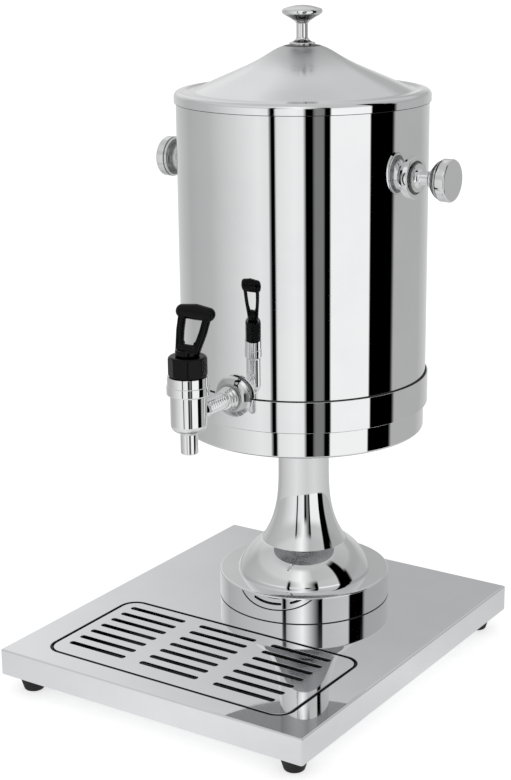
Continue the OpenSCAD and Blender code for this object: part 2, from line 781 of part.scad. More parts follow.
module tap_body() {
    r = barrel_d / 2;
    c = collar_d / 2;
    lip = collar_lip;
    collar_z = shank_z + barrel_up;
    spout_r = spout_d / 2;
    round_r = r - spout_r - 1.2;
    color(steel) difference() {
        at_tap() rotate_extrude() polygon(concat(
            [[spout_bore / 2, barrel_z - spout_l], [spout_r - 0.5, barrel_z - spout_l],
             [spout_r, barrel_z - spout_l + 0.6], [spout_r + 0.1, barrel_z - 1],
             [spout_r + 0.7, barrel_z - 0.6]],
            [for (i = [0:9]) let (a = -90 + 10 * i)
                [r - round_r + round_r * cos(a), barrel_z + barrel_round_h * (1 + sin(a))]],
            [[r, collar_z - 1], [c - 0.4, collar_z], [c + lip, collar_z + 1],
             [c + lip, collar_z + collar_h / 2 - 0.4], [c, collar_z + collar_h / 2],
             [c, barrel_top - 0.5], [c - 0.5, barrel_top], [neck_r, barrel_top],
             [neck_r, barrel_top + neck_h], [barrel_bore / 2, barrel_top + neck_h],
             [barrel_bore / 2, seat_z], [spout_bore / 2, seat_z]]));
        at_tap(shank_z) rotate([-90, 0, 0]) cylinder(r = shank_d / 2 + 0.02, h = r + past);
    }
}

module tap_shank() {
    outer_end = tank_r + tap_reach - barrel_bore / 2 - 1;
    inner_end = vessel_in_r - shank_in;
    color(steel) difference() {
        at_shank() translate([0, 0, inner_end])
            cylinder(d = shank_d, h = outer_end - inner_end);
        at_shank() translate([0, 0, inner_end - past])
            cylinder(d = shank_bore, h = outer_end - inner_end + 2 * past);
        at_tap(shank_z - shank_d) cylinder(d = barrel_bore, h = 2 * shank_d);
    }
}

module tap_lock_nut() {
    r = lock_nut_d / 2;
    bore_r = shank_d / 2 + play;
    ridges = 3;
    step = lock_nut_l / ridges;
    color(steel) at_shank() translate([0, 0, lock_nut_back]) rotate_extrude() polygon(concat(
        [[bore_r, 0]],
        [for (i = [0:ridges - 1], p = [[-0.5, 0.1], [0, 0.3], [0, 0.75], [-1.1, 0.95]])
            [r * (1 - 0.08 * i) + p[0], step * (i + p[1])]],
        [[bore_r, lock_nut_l]]));
}

module tap_escutcheon() {
    r = escutcheon_d / 2;
    color(steel) at_shank() translate([0, 0, escutcheon_back]) rotate_extrude() polygon(concat(
        [[shank_d / 2 + play, 0], [r, 0], [r, escutcheon_t * 0.3]],
        [for (i = [1:8]) let (u = i / 8)
            [r + (shank_d / 2 + 3 - r) * u, escutcheon_t * (0.3 + 0.7 * sin(90 * u))]],
        [[shank_d / 2 + play, escutcheon_t]]));
}

module outer_gasket() {
    color(silicone) difference() {
        at_shank() translate([0, 0, tank_r - past])
            cylinder(d = gasket_d, h = escutcheon_back - tank_r + past);
        at_shank() translate([0, 0, tank_r - 2 * past])
            cylinder(r = shank_d / 2 + play, h = escutcheon_back - tank_r + 4 * past);
        tank_solid(tank_r);
    }
}

module inner_gasket() {
    color(silicone) intersection() {
        at_shank() translate([0, 0, vessel_in_r - 2]) difference() {
            cylinder(r = shank_d / 2 + 3.8, h = 2 + past);
            translate([0, 0, -past]) cylinder(r = shank_d / 2 + play, h = 2 + 3 * past);
        }
        at_axis(vessel_z) cylinder(r = vessel_in_r, h = shell_h / 2, $fn = 180);
    }
}

module inner_nut() {
    color(dull_steel) at_shank() translate([0, 0, vessel_in_r - 2 - 5.5])
        hex_nut(shank_d / 2 + 3.8, 5.5, shank_d / 2 + 0.02);
}

module tap_bonnet() {
    r = bonnet_d / 2;
    e = bonnet_r;
    cut = 1.6;
    color(black_plastic) at_tap(bonnet_z) difference() {
        intersection() {
            rotate(bonnet_turn) cylinder(r = r, h = bonnet_h, $fn = 8);
            rotate_extrude() polygon(concat(
                [[0, 0], [r - cut, 0], [r - 0.35, cut]],
                arc([r - 0.35 - e, bonnet_h - e], e, 0, 90, 6),
                [[0, bonnet_h]]));
        }
        translate([0, 0, -past]) cylinder(r = valve_d / 2 + valve_fit, h = bonnet_h + 2 * past, $fn = 48);
        translate([0, 0, -past]) cylinder(r = neck_r + play, h = neck_h + seal_t - 0.2 + past);
        translate([0, 0, -past]) cylinder(r = barrel_bore / 2, h = bonnet_h - bonnet_wall + past);
    }
}

module bonnet_seal() {
    color(silicone) at_tap(barrel_top + neck_h) difference() {
        cylinder(r = neck_r, h = seal_t);
        translate([0, 0, -past]) cylinder(d = barrel_bore, h = seal_t + 2 * past);
    }
}

module valve_stem() {
    color(dull_steel) difference() {
        at_tap() union() {
            translate([0, 0, seat_z + 3]) cylinder(r = valve_d / 2 + 1.5, h = 3);
            translate([0, 0, seat_z + 4]) cylinder(d = valve_d, h = pin_z + stem_head - seat_z - 4);
            translate([0, 0, valve_collar_z]) cylinder(r = valve_d / 2 + 4, h = valve_collar_t);
        }
        at_tap(pin_z) rotate([0, 90, 0])
            cylinder(r = lever_pin_d / 2 + 0.02, h = valve_d + 2 * past, center = true, $fn = 48);
    }
}

module seat_plug() {
    r = barrel_bore / 2 - 1.5;
    color(silicone) at_tap(seat_z + play) difference() {
        rotate_extrude() polygon([[0, 0], [r - 2, 0], [r, 2], [r, 6.5], [r - 2, 9.5], [0, 9.5]]);
        translate([0, 0, 3 - play]) cylinder(r = valve_d / 2 + 1.52, h = 3.02);
        translate([0, 0, 3 - play]) cylinder(r = valve_d / 2 + 0.02, h = 10);
    }
}

// A round wire wound as a helix with flat end coils
module valve_spring() {
    z0 = valve_collar_z + valve_collar_t + wire_d / 2 + 0.05;
    z1 = bonnet_top - bonnet_wall - wire_d / 2 - 0.05;
    turns = 5;
    per_turn = 16;
    sides = 6;
    r = valve_d / 2 + 2.4;
    n = turns * per_turn;
    rise = function (u) u < 0.2 ? 0.06 * u / 0.2 : u > 0.8 ? 1 - 0.06 * (1 - u) / 0.2
        : 0.06 + 0.88 * (u - 0.2) / 0.6;
    points = [for (i = [0:n], k = [0:sides - 1])
        let (a = 360 * i / per_turn, b = 360 * k / sides, q = r + wire_d / 2 * cos(b))
        [q * cos(a), q * sin(a), z0 + (z1 - z0) * rise(i / n) + wire_d / 2 * sin(b)]];
    walls = [for (i = [0:n - 1], k = [0:sides - 1], t = [0, 1])
        let (a = i * sides + k, b = i * sides + (k + 1) % sides)
        t == 0 ? [a, b, b + sides] : [a, b + sides, a + sides]];
    ends = [for (k = [1:sides - 2], t = [0, 1])
        t == 0 ? [0, k + 1, k] : [n * sides, n * sides + k, n * sides + k + 1]];
    color(dull_steel) at_tap() polyhedron(points, concat(walls, ends));
}

module lever_pin() {
    color(dull_steel) at_tap(pin_z) rotate([0, 90, 0])
        cylinder(d = lever_pin_d, h = lever_foot_d * 0.86, center = true, $fn = 48);
}

module ball(x, z, rx, ry, rz) {
    translate([x, 0, z]) scale([rx, ry, rz]) sphere(r = 1, $fn = 24);
}

// The right leg of the loop: two bars that meet in a slight knee
module lever_leg(foot_x, foot_z, top_x, top_z) {
    r = leg_w / 2;
    knee_x = (foot_x + top_x) / 2 + leg_knee;
    knee_z = (foot_z + top_z) / 2;
    hull() {
        ball(foot_x, foot_z, r, leg_d / 2, r);
        ball(knee_x, knee_z, r, leg_d / 2, r);
    }
    hull() {
        ball(knee_x, knee_z, r * 0.98, leg_d / 2 * 0.98, r * 0.98);
        ball(top_x, top_z, r, leg_d / 2, r);
    }
}

module tap_lever() {
    r = lever_foot_d / 2;
    foot_x = r - leg_w / 2 + 1.4;
    top_x = bar_l / 2 - leg_w;
    swing_r = norm([valve_d / 2, stem_head]) + 0.25;
    low_y = valve_d / 2 / cos(lever_swing) + pin_up * tan(lever_swing) + 0.3;
    color(black_plastic) at_tap(lever_z) difference() {
        union() {
            rotate_extrude() polygon(concat(
                [[0, 0], [r, 0]],
                arc([r - 1.5, lever_foot_h - 1.5], 1.5, 0, 90, 4), [[0, lever_foot_h]]));
            translate([0, 0, 2]) rotate([-lever_lean, 0, 0]) translate([0, 0, -2]) {
                for (m = [0, 1]) mirror([m, 0, 0])
                    lever_leg(foot_x, lever_foot_h - 0.7, top_x, bar_z - 1.3);
                hull() for (s = [-1, 1])
                    ball(s * (foot_x - 0.25), lever_foot_h - 1.6, leg_w / 2 + 0.37, leg_d / 2 + 0.13, 2.83);
                hull() {
                    for (s = [-1, 1]) ball(s * (bar_l / 2 - 5.5), bar_z - 0.6, 5.5, bar_d / 2, bar_h / 2 - 0.9);
                    ball(0, bar_z, 9, bar_d / 2, bar_h / 2);
                }
            }
        }
        translate([0, 0, pin_up]) rotate([0, 90, 0])
            cylinder(r = lever_pin_d / 2 + pin_fit, h = lever_foot_d, center = true, $fn = 48);
        translate([0, 0, pin_up]) rotate([0, 90, 0])
            cylinder(r = swing_r, h = valve_d + 0.7, center = true, $fn = 48);
        translate([-valve_d / 2 - 0.35, -low_y, -past])
            cube([valve_d + 0.7, low_y + valve_d / 2 + 0.3, pin_up + past]);
    }
}

module lid_shell() {
    r = lid_r - lid_rim_r;
    n = 12;
    color(steel) at_axis(0) spun_sheet(concat(
        [[lid_r, tank_top - lid_overlap]],
        arc([r, lid_crown_z - lid_rim_r], lid_rim_r, 0, 90, 8),
        [for (i = [1:n]) let (u = i / n) [r - lid_valley_w * u, lid_crown_z + lid_valley_h * sin(360 * u)]],
        [[cone_top_d / 2, cone_top_z], [lid_screw_r + play, cone_top_z]]), lid_t);
}

module lid_liner() {
    rise = liner_flange_z - tank_top + liner_depth;
    color(steel) at_axis(tank_top - liner_depth) spun_sheet(concat(
        [[0, 0]],
        arc([liner_r - 3, 3], 3, -90, 0, 4),
        [[liner_r, rise], [lid_r - lid_rim_r + 0.4, rise]]), 0.8);
}

module lid_gasket() {
    r = vessel_in_r + 0.4;
    color(silicone) at_axis(tank_top + seat_gap) difference() {
        cylinder(r = r + lid_gasket_w, h = liner_flange_z - tank_top - seat_gap);
        translate([0, 0, -past]) cylinder(r = r, h = liner_flange_z - tank_top + 2 * past);
    }
}

module lid_knob() {
    f = lid_flange_d / 2;
    r = lid_knob_d / 2;
    waist = lid_knob_waist_d / 2;
    wide_z = lid_knob_l - lid_knob_crown;
    color(steel) at_axis(cone_top_z) difference() {
        rotate_extrude() polygon(concat(
            [[0, 0], [f - 0.4, 0]],
            arc([f - lid_flange_t / 2, lid_flange_t / 2], lid_flange_t / 2, -60, 90, 7),
            [for (i = [0:6]) let (u = i / 6)
                [waist + 2 * pow(1 - u, 2.2), lid_flange_t + 3.4 * u]],
            [for (i = [0:14]) let (u = i / 14)
                [waist + (r - waist) * ease(pow(u, 1.12)), wide_z - lid_knob_flare * (1 - u)]],
            [for (i = [1:10]) let (a = 9 * i) [r * cos(a), wide_z + lid_knob_crown * sin(a)]]));
        translate([0, 0, -past]) cylinder(r = lid_screw_r + 0.02, h = 14 + past, $fn = 48);
    }
}

module lid_screw() {
    color(dull_steel) {
        at_axis(cone_top_z - lid_t - 1.2) cylinder(r = lid_screw_r, h = 13, $fn = 48);
        at_axis(cone_top_z - lid_t - 1.2 - 3.2) difference() {
            cylinder(r = 4.6, h = 3.2, $fn = 48);
            translate([0, 0, -past]) cylinder(r = 1.8, h = 2 + past, $fn = 6);
        }
    }
}

module lid_washer() {
    color(dull_steel) at_axis(cone_top_z - lid_t - 1.2) difference() {
        cylinder(r = 9, h = 1.2);
        translate([0, 0, -past]) cylinder(r = lid_screw_r + play, h = 1.2 + 2 * past, $fn = 48);
    }
}

base_plate();
base_stiffener();
foot(-1, -1);  // foot_front_left
foot(1, -1);  // foot_front_right
foot(-1, 1);  // foot_rear_left
foot(1, 1);  // foot_rear_right
foot_screws();
foot_nuts();
tray_frame();
drip_tray();
drip_grille();
plinth();
dome();
stem();
tie_rod();
rod_washers();
rod_nuts();
support_cup();
cup_stiffener();
tank_shell();
tank_belt();
tank_foot();
insulation();
inner_vessel();
side_knob(-1);  // side_knob_left
side_knob(1);  // side_knob_right
knob_rosette(-1);  // knob_rosette_left
knob_rosette(1);  // knob_rosette_right
knob_studs();
knob_washers();
knob_nuts();
tap_body();
tap_shank();
tap_lock_nut();
tap_escutcheon();
outer_gasket();
inner_gasket();
inner_nut();
tap_bonnet();
bonnet_seal();
valve_stem();
seat_plug();
valve_spring();
lever_pin();
tap_lever();
lid_shell();
lid_liner();
lid_gasket();
lid_knob();
lid_screw();
lid_washer();
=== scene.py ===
import math

import bpy
from mathutils import Matrix, Vector


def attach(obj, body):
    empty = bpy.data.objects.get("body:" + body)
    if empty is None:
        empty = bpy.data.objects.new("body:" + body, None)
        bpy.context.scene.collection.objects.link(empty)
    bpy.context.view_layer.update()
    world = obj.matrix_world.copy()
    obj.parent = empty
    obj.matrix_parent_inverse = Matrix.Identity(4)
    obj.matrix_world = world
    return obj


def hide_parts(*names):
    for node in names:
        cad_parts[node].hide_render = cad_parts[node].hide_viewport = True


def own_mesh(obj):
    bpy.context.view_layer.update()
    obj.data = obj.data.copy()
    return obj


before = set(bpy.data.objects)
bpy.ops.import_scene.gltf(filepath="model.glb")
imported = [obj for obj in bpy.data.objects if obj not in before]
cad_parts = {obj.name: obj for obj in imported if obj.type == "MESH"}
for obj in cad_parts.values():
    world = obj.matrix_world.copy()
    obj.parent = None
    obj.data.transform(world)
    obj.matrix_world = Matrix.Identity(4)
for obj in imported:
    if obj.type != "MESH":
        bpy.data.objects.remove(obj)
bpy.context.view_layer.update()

# Camera. A long lens stands a metre and a half from the dispenser, right of the tap and a little
# over the lid, and looks down at it.
CAMERA_PLACE = Vector((0.7638, -1.1512, 0.6468))
CAMERA_TURN = math.radians(33.743)
CAMERA_HEIGHT = math.radians(16.208)
CAMERA_ROLL = math.radians(-0.657)

bpy.ops.object.camera_add()
camera = bpy.context.object
camera.name = "camera"
camera.data.sensor_width = 36
camera.data.lens = 78.65
camera.data.clip_start = 0.05
camera.data.clip_end = 100
back = Vector((math.sin(CAMERA_TURN) * math.cos(CAMERA_HEIGHT),
               -math.cos(CAMERA_TURN) * math.cos(CAMERA_HEIGHT), math.sin(CAMERA_HEIGHT)))
right = Vector((math.cos(CAMERA_TURN), math.sin(CAMERA_TURN), 0))
up = back.cross(right)
tilted_right = right * math.cos(CAMERA_ROLL) + up * math.sin(CAMERA_ROLL)
tilted_up = up * math.cos(CAMERA_ROLL) - right * math.sin(CAMERA_ROLL)
camera.matrix_world = Matrix.Translation(CAMERA_PLACE) @ Matrix(
    (tilted_right, tilted_up, back)).transposed().to_4x4()
bpy.context.scene.camera = camera
bpy.context.scene.view_settings.view_transform = "Standard"


# Studio. A white table and a white room light the dispenser evenly. Tall cards stand far round it,
# and the polished steel shows them as upright bands. Only reflections see the cards.
class Wire:
    """A value in a node tree. Sums and products of wires add Math nodes, and node() any other."""

    def __init__(self, tree, socket=None):
        self.tree = tree
        self.socket = socket

    def node(self, kind, settings=None, inputs=None, output=0):
        made = self.tree.nodes.new(kind)
        for name, value in (settings or {}).items():
            if name == "stops":
                ramp = made.color_ramp
                while len(ramp.elements) < len(value):
                    ramp.elements.new(1)
                for stop, (place, colour) in zip(ramp.elements, value):
                    stop.position = place
                    stop.color = (*colour, 1)
            else:
                setattr(made, name, value)
        for name, value in (inputs or {}).items():
            if isinstance(value, Wire):
                self.tree.links.new(value.socket, made.inputs[name])
            else:
                made.inputs[name].default_value = value
        return Wire(self.tree, made.outputs[output] if made.outputs else None)

    def beside(self, output):
        """Another output of the node that this wire leaves."""
        return Wire(self.tree, self.socket.node.outputs[output])

    def sum_of(self, operation, *values):
        return self.node("ShaderNodeMath", {"operation": operation}, dict(enumerate(values)))

    def __add__(self, other):
        return self.sum_of("ADD", self, other)

    def __sub__(self, other):
        return self.sum_of("SUBTRACT", self, other)

    def __mul__(self, other):
        return self.sum_of("MULTIPLY", self, other)

    __radd__ = __add__
    __rmul__ = __mul__

    def over(self, low, high):
        """0 under low, 1 over high, and smooth between them."""
        return self.node("ShaderNodeMapRange", {"interpolation_type": "SMOOTHSTEP"},
                         {"Value": self, "From Min": low, "From Max": high})

    def between(self, low, full, fading, gone):
        """1 from full to fading, and 0 under low and over gone."""
        return self.over(low, full) * self.over(gone, fading)

    def blend(self, first, second):
        """The colour first where this value is 0, and second where it is 1."""
        return self.node("ShaderNodeMix", {"data_type": "RGBA"},
                         {"Factor": self, 6: first, 7: second}, output=2)

    def vector(self, operation, *others, output=0):
        return self.node("ShaderNodeVectorMath", {"operation": operation},
                         dict(enumerate((self, *others))), output)

    def along(self, axis):
        """How far along X, Y or Z this place lies."""
        return self.node("ShaderNodeSeparateXYZ", {}, {"Vector": self}).beside(axis)

    def from_axis(self, point, across):
        """How far in metres this place lies from the line through point that across leaves out."""
        return self.vector("SUBTRACT", point).vector("MULTIPLY", across).vector("LENGTH", output=1)

    def noise(self, scale, detail, **more):
        return self.node("ShaderNodeTexNoise", {}, {
            "Vector": self, "Scale": scale, "Detail": detail, **more})

    def bump(self, strength, distance):
        return self.node("ShaderNodeBump", {}, {
            "Strength": strength, "Distance": distance, "Height": self})

    def surface(self, looks):
        """Ends the tree with a Principled shader that has these looks."""
        shader = self.node("ShaderNodeBsdfPrincipled", {}, looks)
        self.node("ShaderNodeOutputMaterial", {}, {"Surface": shader})


def new_finish(name):
    """An empty material, and the place on the piece, from which its other nodes grow."""
    material = bpy.data.materials.new(name)
    material.use_nodes = True
    material.node_tree.nodes.clear()
    return material, Wire(material.node_tree).node("ShaderNodeTexCoord", output=3)


def deselect():
    bpy.ops.object.select_all(action="DESELECT")


def tones(place, middle, stops):
    """The grey that a list gives for the direction of a place from the upright axis at Y middle."""
    turn = place.sum_of("ARCTAN2", place.along("Y") - middle, place.along("X")) * (1 / math.tau)
    return place.node("ShaderNodeValToRGB", {"stops": [
        ((degrees + 180) / 360, (grey, grey, grey)) for degrees, grey in stops]},
        {"Fac": turn + 0.5})


PAPER = 1.0
ROOM = 0.62
CEILING = 0.55
TABLE_SIZE = 60
TABLE_GLOW = 0.60
NEAR_TABLE = (0.585, 0.615)
TANK_Y = 0.068
CARDS_AWAY = 14
CARDS_FOOT, CARDS_TOP = -7.5, 30
# White and grey cards with black flags between them: where each begins and ends, in degrees, and
# how bright it is there. The low ring is seen in upright walls, the middle one in the pedestal and
# the plate, and the high one in round tops.
LOW_CARDS = [(-180, 0.45), (-150, 0.5), (-98, 0.85), (-87.5, 0.8), (-87, 0), (-82, 0),
             (-81.5, 0.8), (-65, 0.9), (-56.5, 0.85), (-56, 0), (-48.5, 0), (-47.5, 0.2),
             (-39.5, 0.2), (-38, 0), (-33.5, 0), (-33, 0.95), (4.5, 0.95), (5.5, 0), (30.5, 0),
             (33.5, 0.45), (75, 0.45), (120, 0.75), (178, 0.45)]
MIDDLE_CARDS = [(-180, 0.45), (-95, 0.6), (-87.5, 0.6), (-87, 0), (-82, 0), (-81.5, 0.45),
                (-60, 1), (-38, 0), (-33.5, 0), (-33, 0.55), (5, 0.6), (6, 0), (28.5, 0),
                (33, 0.4), (120, 0.45), (135, 0.8), (178, 0.45)]
HIGH_CARDS = [(-180, 0.55), (-88, 0.7), (-65, 1), (-40, 0.5), (5, 0.55), (6, 0), (24, 0),
              (28, 0.45), (110, 0.6), (140, 0.75), (178, 0.55)]
# How far up one ring of cards gives way to the next, and the last one to the ceiling
LOW_TO_MIDDLE = (1.2, 4.2)
MIDDLE_TO_HIGH = (6.0, 9.0)
HIGH_TO_CEILING = (15.0, 22.0)
# The table as the metal shows it is bright in front and dim behind, round the tank
TABLE_TONES = [(-180, 0.5), (-90, 0.9), (-45, 0.7), (-10, 0.8), (55, 0.6), (165, 0.45)]
TONED_SHARE = 0.75

world = bpy.data.worlds.new("room")
bpy.context.scene.world = world
world.use_nodes = True
world.node_tree.nodes.clear()
light = Wire(world.node_tree)
seen = light.node("ShaderNodeLightPath")
shown = light.sum_of("MAXIMUM", seen.beside("Is Camera Ray"), seen.beside("Is Transmission Ray"))
strength = shown * (PAPER - ROOM) + seen.beside("Is Glossy Ray") * (CEILING - ROOM) + ROOM
light.node("ShaderNodeOutputWorld", {}, {"Surface": light.node("ShaderNodeBackground", {}, {
    "Color": (1, 1, 1, 1), "Strength": strength})})

deselect()
bpy.ops.mesh.primitive_plane_add(size=TABLE_SIZE)
table = bpy.context.object
table.name = "table"
material, place = new_finish("table_white")
ray = place.node("ShaderNodeLightPath")
grain = place.noise(90.0, 4.0)
matt = place.node("ShaderNodeBsdfDiffuse", {}, {
    "Color": grain.over(0.3, 0.7).blend((0.80, 0.80, 0.80, 1), (0.83, 0.83, 0.83, 1))})
own = place.node("ShaderNodeEmission", {}, {
    "Color": (1, 1, 1, 1), "Strength": ray.beside("Is Camera Ray") * TABLE_GLOW})
paper = place.node("ShaderNodeAddShader", {}, {0: matt, 1: own})
seen_in_metal = place.node("ShaderNodeEmission", {}, {
    "Strength": 1.0, "Color": tones(place, TANK_Y, TABLE_TONES)})
is_glossy = ray.beside("Is Glossy Ray")
paper = place.node("ShaderNodeMixShader", {}, {
    0: is_glossy * TONED_SHARE, 1: paper, 2: seen_in_metal})
gone = place.node("ShaderNodeBsdfTransparent")
away = place.vector("LENGTH", output=1)
paper = place.node("ShaderNodeMixShader", {}, {
    0: is_glossy * away.over(*NEAR_TABLE), 1: paper, 2: gone})
place.node("ShaderNodeOutputMaterial", {}, {"Surface": paper})
table.data.materials.append(material)

deselect()
bpy.ops.mesh.primitive_cylinder_add(vertices=128, radius=CARDS_AWAY, depth=CARDS_TOP - CARDS_FOOT,
                                    end_fill_type="NOTHING",
                                    location=(0, 0, (CARDS_TOP + CARDS_FOOT) / 2))
bpy.ops.object.transform_apply(location=True, rotation=True, scale=True)
cards = bpy.context.object
cards.name = "cards"
material, place = new_finish("cards_grey")
rise = place.along("Z")
low, middle, high = (tones(place, 0.0, row) for row in (LOW_CARDS, MIDDLE_CARDS, HIGH_CARDS))
tone = rise.over(*MIDDLE_TO_HIGH).blend(rise.over(*LOW_TO_MIDDLE).blend(low, middle), high)
tone = rise.over(*HIGH_TO_CEILING).blend(tone, (CEILING, CEILING, CEILING, 1))
card = place.node("ShaderNodeEmission", {}, {"Color": tone, "Strength": 1.0})
place.node("ShaderNodeOutputMaterial", {}, {"Surface": card})
cards.data.materials.append(material)
cards.visible_camera = False
cards.visible_diffuse = False
cards.visible_shadow = False
cards.visible_transmission = False


# Base plate. A shallow box folded from one steel sheet, with its edges rounded by the folds and
# its corners welded and polished. A lip turns in under the skirt, and the drip tray has an opening.
MM = 0.001
PLATE = (300, 350, 22.5)
PLATE_UNDERSIDE = 16
PLATE_FOLD = 1.7
PLATE_SHEET = 1.2
PLATE_LIP = 36
TRAY_OPENING = (240, 121, 14.8)
TRAY_Y = -93
# The painted shade along the gap round the tray: how far in from the opening's edge, half its
# width, its soft border
SEAM_IN, SEAM_WIDE, SEAM_SOFT = 0.4, 1.45, 0.25


def steel(name, tint, dull, smudge, ripple, ripple_size, painted_shade=None):
    """Polished stainless steel: wiped almost clean, so its gloss varies, on a sheet that waves.

    The last argument gives, from a place on the piece, how deep the painted shade lies there, from
    0 to 1."""
    material, place = new_finish(name)
    wiped = place.noise(16.0, 5.0, Roughness=0.62, Distortion=0.6)
    specks = place.noise(420.0, 2.0)
    wave = place.noise(ripple_size, 1.0, Roughness=0.3)
    colour = wiped.over(0.25, 0.8).blend(
        (*tint, 1), (tint[0] * 0.955, tint[1] * 0.957, tint[2] * 0.962, 1))
    # Painted shade: where that value is 1 the colour goes near black.
    if painted_shade:
        colour = painted_shade(place).blend(colour, (0.02, 0.02, 0.02, 1))
    gloss = wiped.over(0.35, 0.75) * smudge + specks.over(0.45, 0.8) * (smudge * 0.4) + dull
    place.surface({"Base Color": colour, "Metallic": 1.0, "Roughness": gloss,
                   "Normal": wave.bump(ripple, 0.001)})
    return material


def alone(piece):
    """Selects one piece, and makes it the active one."""
    deselect()
    piece.select_set(True)
    bpy.context.view_layer.objects.active = piece


def named(name):
    """Names the new piece and its mesh."""
    piece = bpy.context.object
    piece.name = piece.data.name = name
    return piece


def applied(piece, kind, **settings):
    """Adds a modifier with these settings to a piece, and applies it."""
    bpy.context.view_layer.objects.active = piece
    modifier = piece.modifiers.new(kind.lower(), kind)
    for name, value in settings.items():
        setattr(modifier, name, value)
    bpy.ops.object.modifier_apply(modifier=modifier.name)


def cut(piece, tool, operation="DIFFERENCE"):
    """Cuts one piece with another, which is used up."""
    applied(piece, "BOOLEAN", operation=operation, object=tool, solver="EXACT")
    bpy.data.objects.remove(tool)


def smooth(piece, degrees=38):
    """Smooth shading that stays flat on the flat faces."""
    alone(piece)
    bpy.ops.object.transform_apply(location=True, rotation=True, scale=True)
    bpy.ops.object.shade_smooth_by_angle(angle=math.radians(degrees))
    applied(piece, "WEIGHTED_NORMAL", keep_sharp=True, weight=50)


def fitted(piece, material, body, slot, *nodes):
    """Gives a piece its material, and puts it on its body in place of the plain parts."""
    piece.data.materials.clear()
    piece.data.materials.append(material)
    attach(piece, body)
    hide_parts(*nodes)


def soften(piece, wanted, width, rounds=4):
    """Rounds off the edges whose middle, in mm, and whose run pass the test."""
    alone(piece)
    bpy.ops.object.mode_set(mode="EDIT")
    bpy.ops.mesh.select_mode(type="EDGE")
    bpy.ops.mesh.select_all(action="DESELECT")
    bpy.ops.object.mode_set(mode="OBJECT")
    for edge in piece.data.edges:
        start, end = (piece.data.vertices[v].co for v in edge.vertices)
        edge.select = wanted((start + end) / 2 / MM, (end - start).normalized())
    bpy.ops.object.mode_set(mode="EDIT")
    bpy.ops.mesh.bevel(offset=width * MM, offset_type="OFFSET", segments=rounds, affect="EDGES")
    bpy.ops.object.mode_set(mode="OBJECT")


def block(name, size, centre, corner=0.0, rounds=12):
    """A block in mm, with its upright edges rounded."""
    deselect()
    bpy.ops.mesh.primitive_cube_add(size=1, location=Vector(centre) * MM)
    bpy.context.object.scale = Vector(size) * MM
    bpy.ops.object.transform_apply(location=True, rotation=True, scale=True)
    piece = named(name)
    if corner:
        soften(piece, lambda middle, run: abs(run.z) > 0.9, corner, rounds)
    return piece


def tray_gap_shade(place):
    """1 in the painted shade line where the plate's opening and the grille's edge meet."""
    half = [(TRAY_OPENING[i] / 2 - TRAY_OPENING[2]) * MM for i in (0, 1)]
    folded = place.vector("SUBTRACT", (0, TRAY_Y * MM, 0)).vector("ABSOLUTE")
    corner = folded.vector("SUBTRACT", (half[0], half[1], 1)).vector("MAXIMUM", (0, 0, 0))
    reach = corner.vector("LENGTH", output=1)
    from_edge = place.sum_of("ABSOLUTE", reach - (TRAY_OPENING[2] - SEAM_IN) * MM)
    return from_edge.over((SEAM_WIDE + SEAM_SOFT) * MM, SEAM_WIDE * MM)


# Painted shade darkens the plate and the grille along the gap round the tray.
plate_steel = steel("plate_steel", (0.95, 0.96, 0.975), 0.012, 0.022, 0.010, 6.0, tray_gap_shade)
plate_top = PLATE_UNDERSIDE + PLATE[2]
plate = block("base_plate_steel", PLATE, (0, 0, PLATE_UNDERSIDE + PLATE[2] / 2))
soften(plate, lambda middle, run: middle.z > PLATE_UNDERSIDE + 1, PLATE_FOLD, 6)
cut(plate, block("hollow", [side - 2 * PLATE_SHEET for side in PLATE],
                 (0, 0, PLATE_UNDERSIDE + PLATE[2] / 2), 0.6, 3))
cut(plate, block("mouth", (PLATE[0] - 2 * PLATE_LIP, PLATE[1] - 2 * PLATE_LIP, 6),
                 (0, 0, PLATE_UNDERSIDE), 10))
cut(plate, block("opening", (TRAY_OPENING[0], TRAY_OPENING[1], 6), (0, TRAY_Y, plate_top),
                 TRAY_OPENING[2], 14))


def on_top(middle, run, size, spare):
    """Whether an edge lies flat in the plate's top, at most spare mm outside the tray's size."""
    return (abs(middle.z - plate_top) < 0.01 and abs(run.z) < 0.1
            and abs(middle.x) < size[0] / 2 + spare
            and abs(middle.y - TRAY_Y) < size[1] / 2 + spare)


soften(plate, lambda middle, run: on_top(middle, run, TRAY_OPENING, 1), 0.35, 3)
smooth(plate)
fitted(plate, plate_steel, "stand", "polished_steel", "base_plate")


# Feet. Four turned rubber cones stand under the corners. A screw through each holds it to the lip,
# and the rubber is matt, and greyer where it has been handled.
FOOT_X, FOOT_Y = 131, 156
FOOT_OUTLINE = [(5, 0), (7.3, 0), (7.9, 0.35), (8.35, 0.85), (8.6, 1.4), (11.7, 11.8), (12, 13),
                (12, 15.6), (11.7, 16), (2.7, 16), (2.7, 5.6), (5, 5.6), (5, 0)]


def turned(name, outline, foot, along=(0, 0, 1), outwards=(1, 0, 0), steps=160):
    """A part off the lathe: its outline, (radius, height) in mm, is drawn and spun on its axis."""
    foot, along, outwards = Vector(foot), Vector(along), Vector(outwards)
    points = [(foot + outwards * r + along * h) * MM for r, h in outline]
    deselect()
    bpy.ops.mesh.primitive_plane_add(size=0.001, location=points[0])
    bpy.ops.object.transform_apply(location=True, rotation=True, scale=True)
    piece = named(name)
    bpy.ops.object.mode_set(mode="EDIT")
    bpy.ops.mesh.select_mode(type="VERT")
    bpy.ops.mesh.select_all(action="SELECT")
    bpy.ops.mesh.merge(type="CENTER")
    for start, end in zip(points, points[1:]):
        bpy.ops.mesh.extrude_vertices_move(TRANSFORM_OT_translate={"value": end - start})
    bpy.ops.mesh.select_all(action="SELECT")
    bpy.ops.mesh.spin(steps=steps, angle=math.tau, center=foot * MM, axis=along)
    bpy.ops.mesh.select_all(action="SELECT")
    bpy.ops.mesh.remove_doubles(threshold=0.000004)
    bpy.ops.mesh.normals_make_consistent(inside=False)
    bpy.ops.object.mode_set(mode="OBJECT")
    return piece


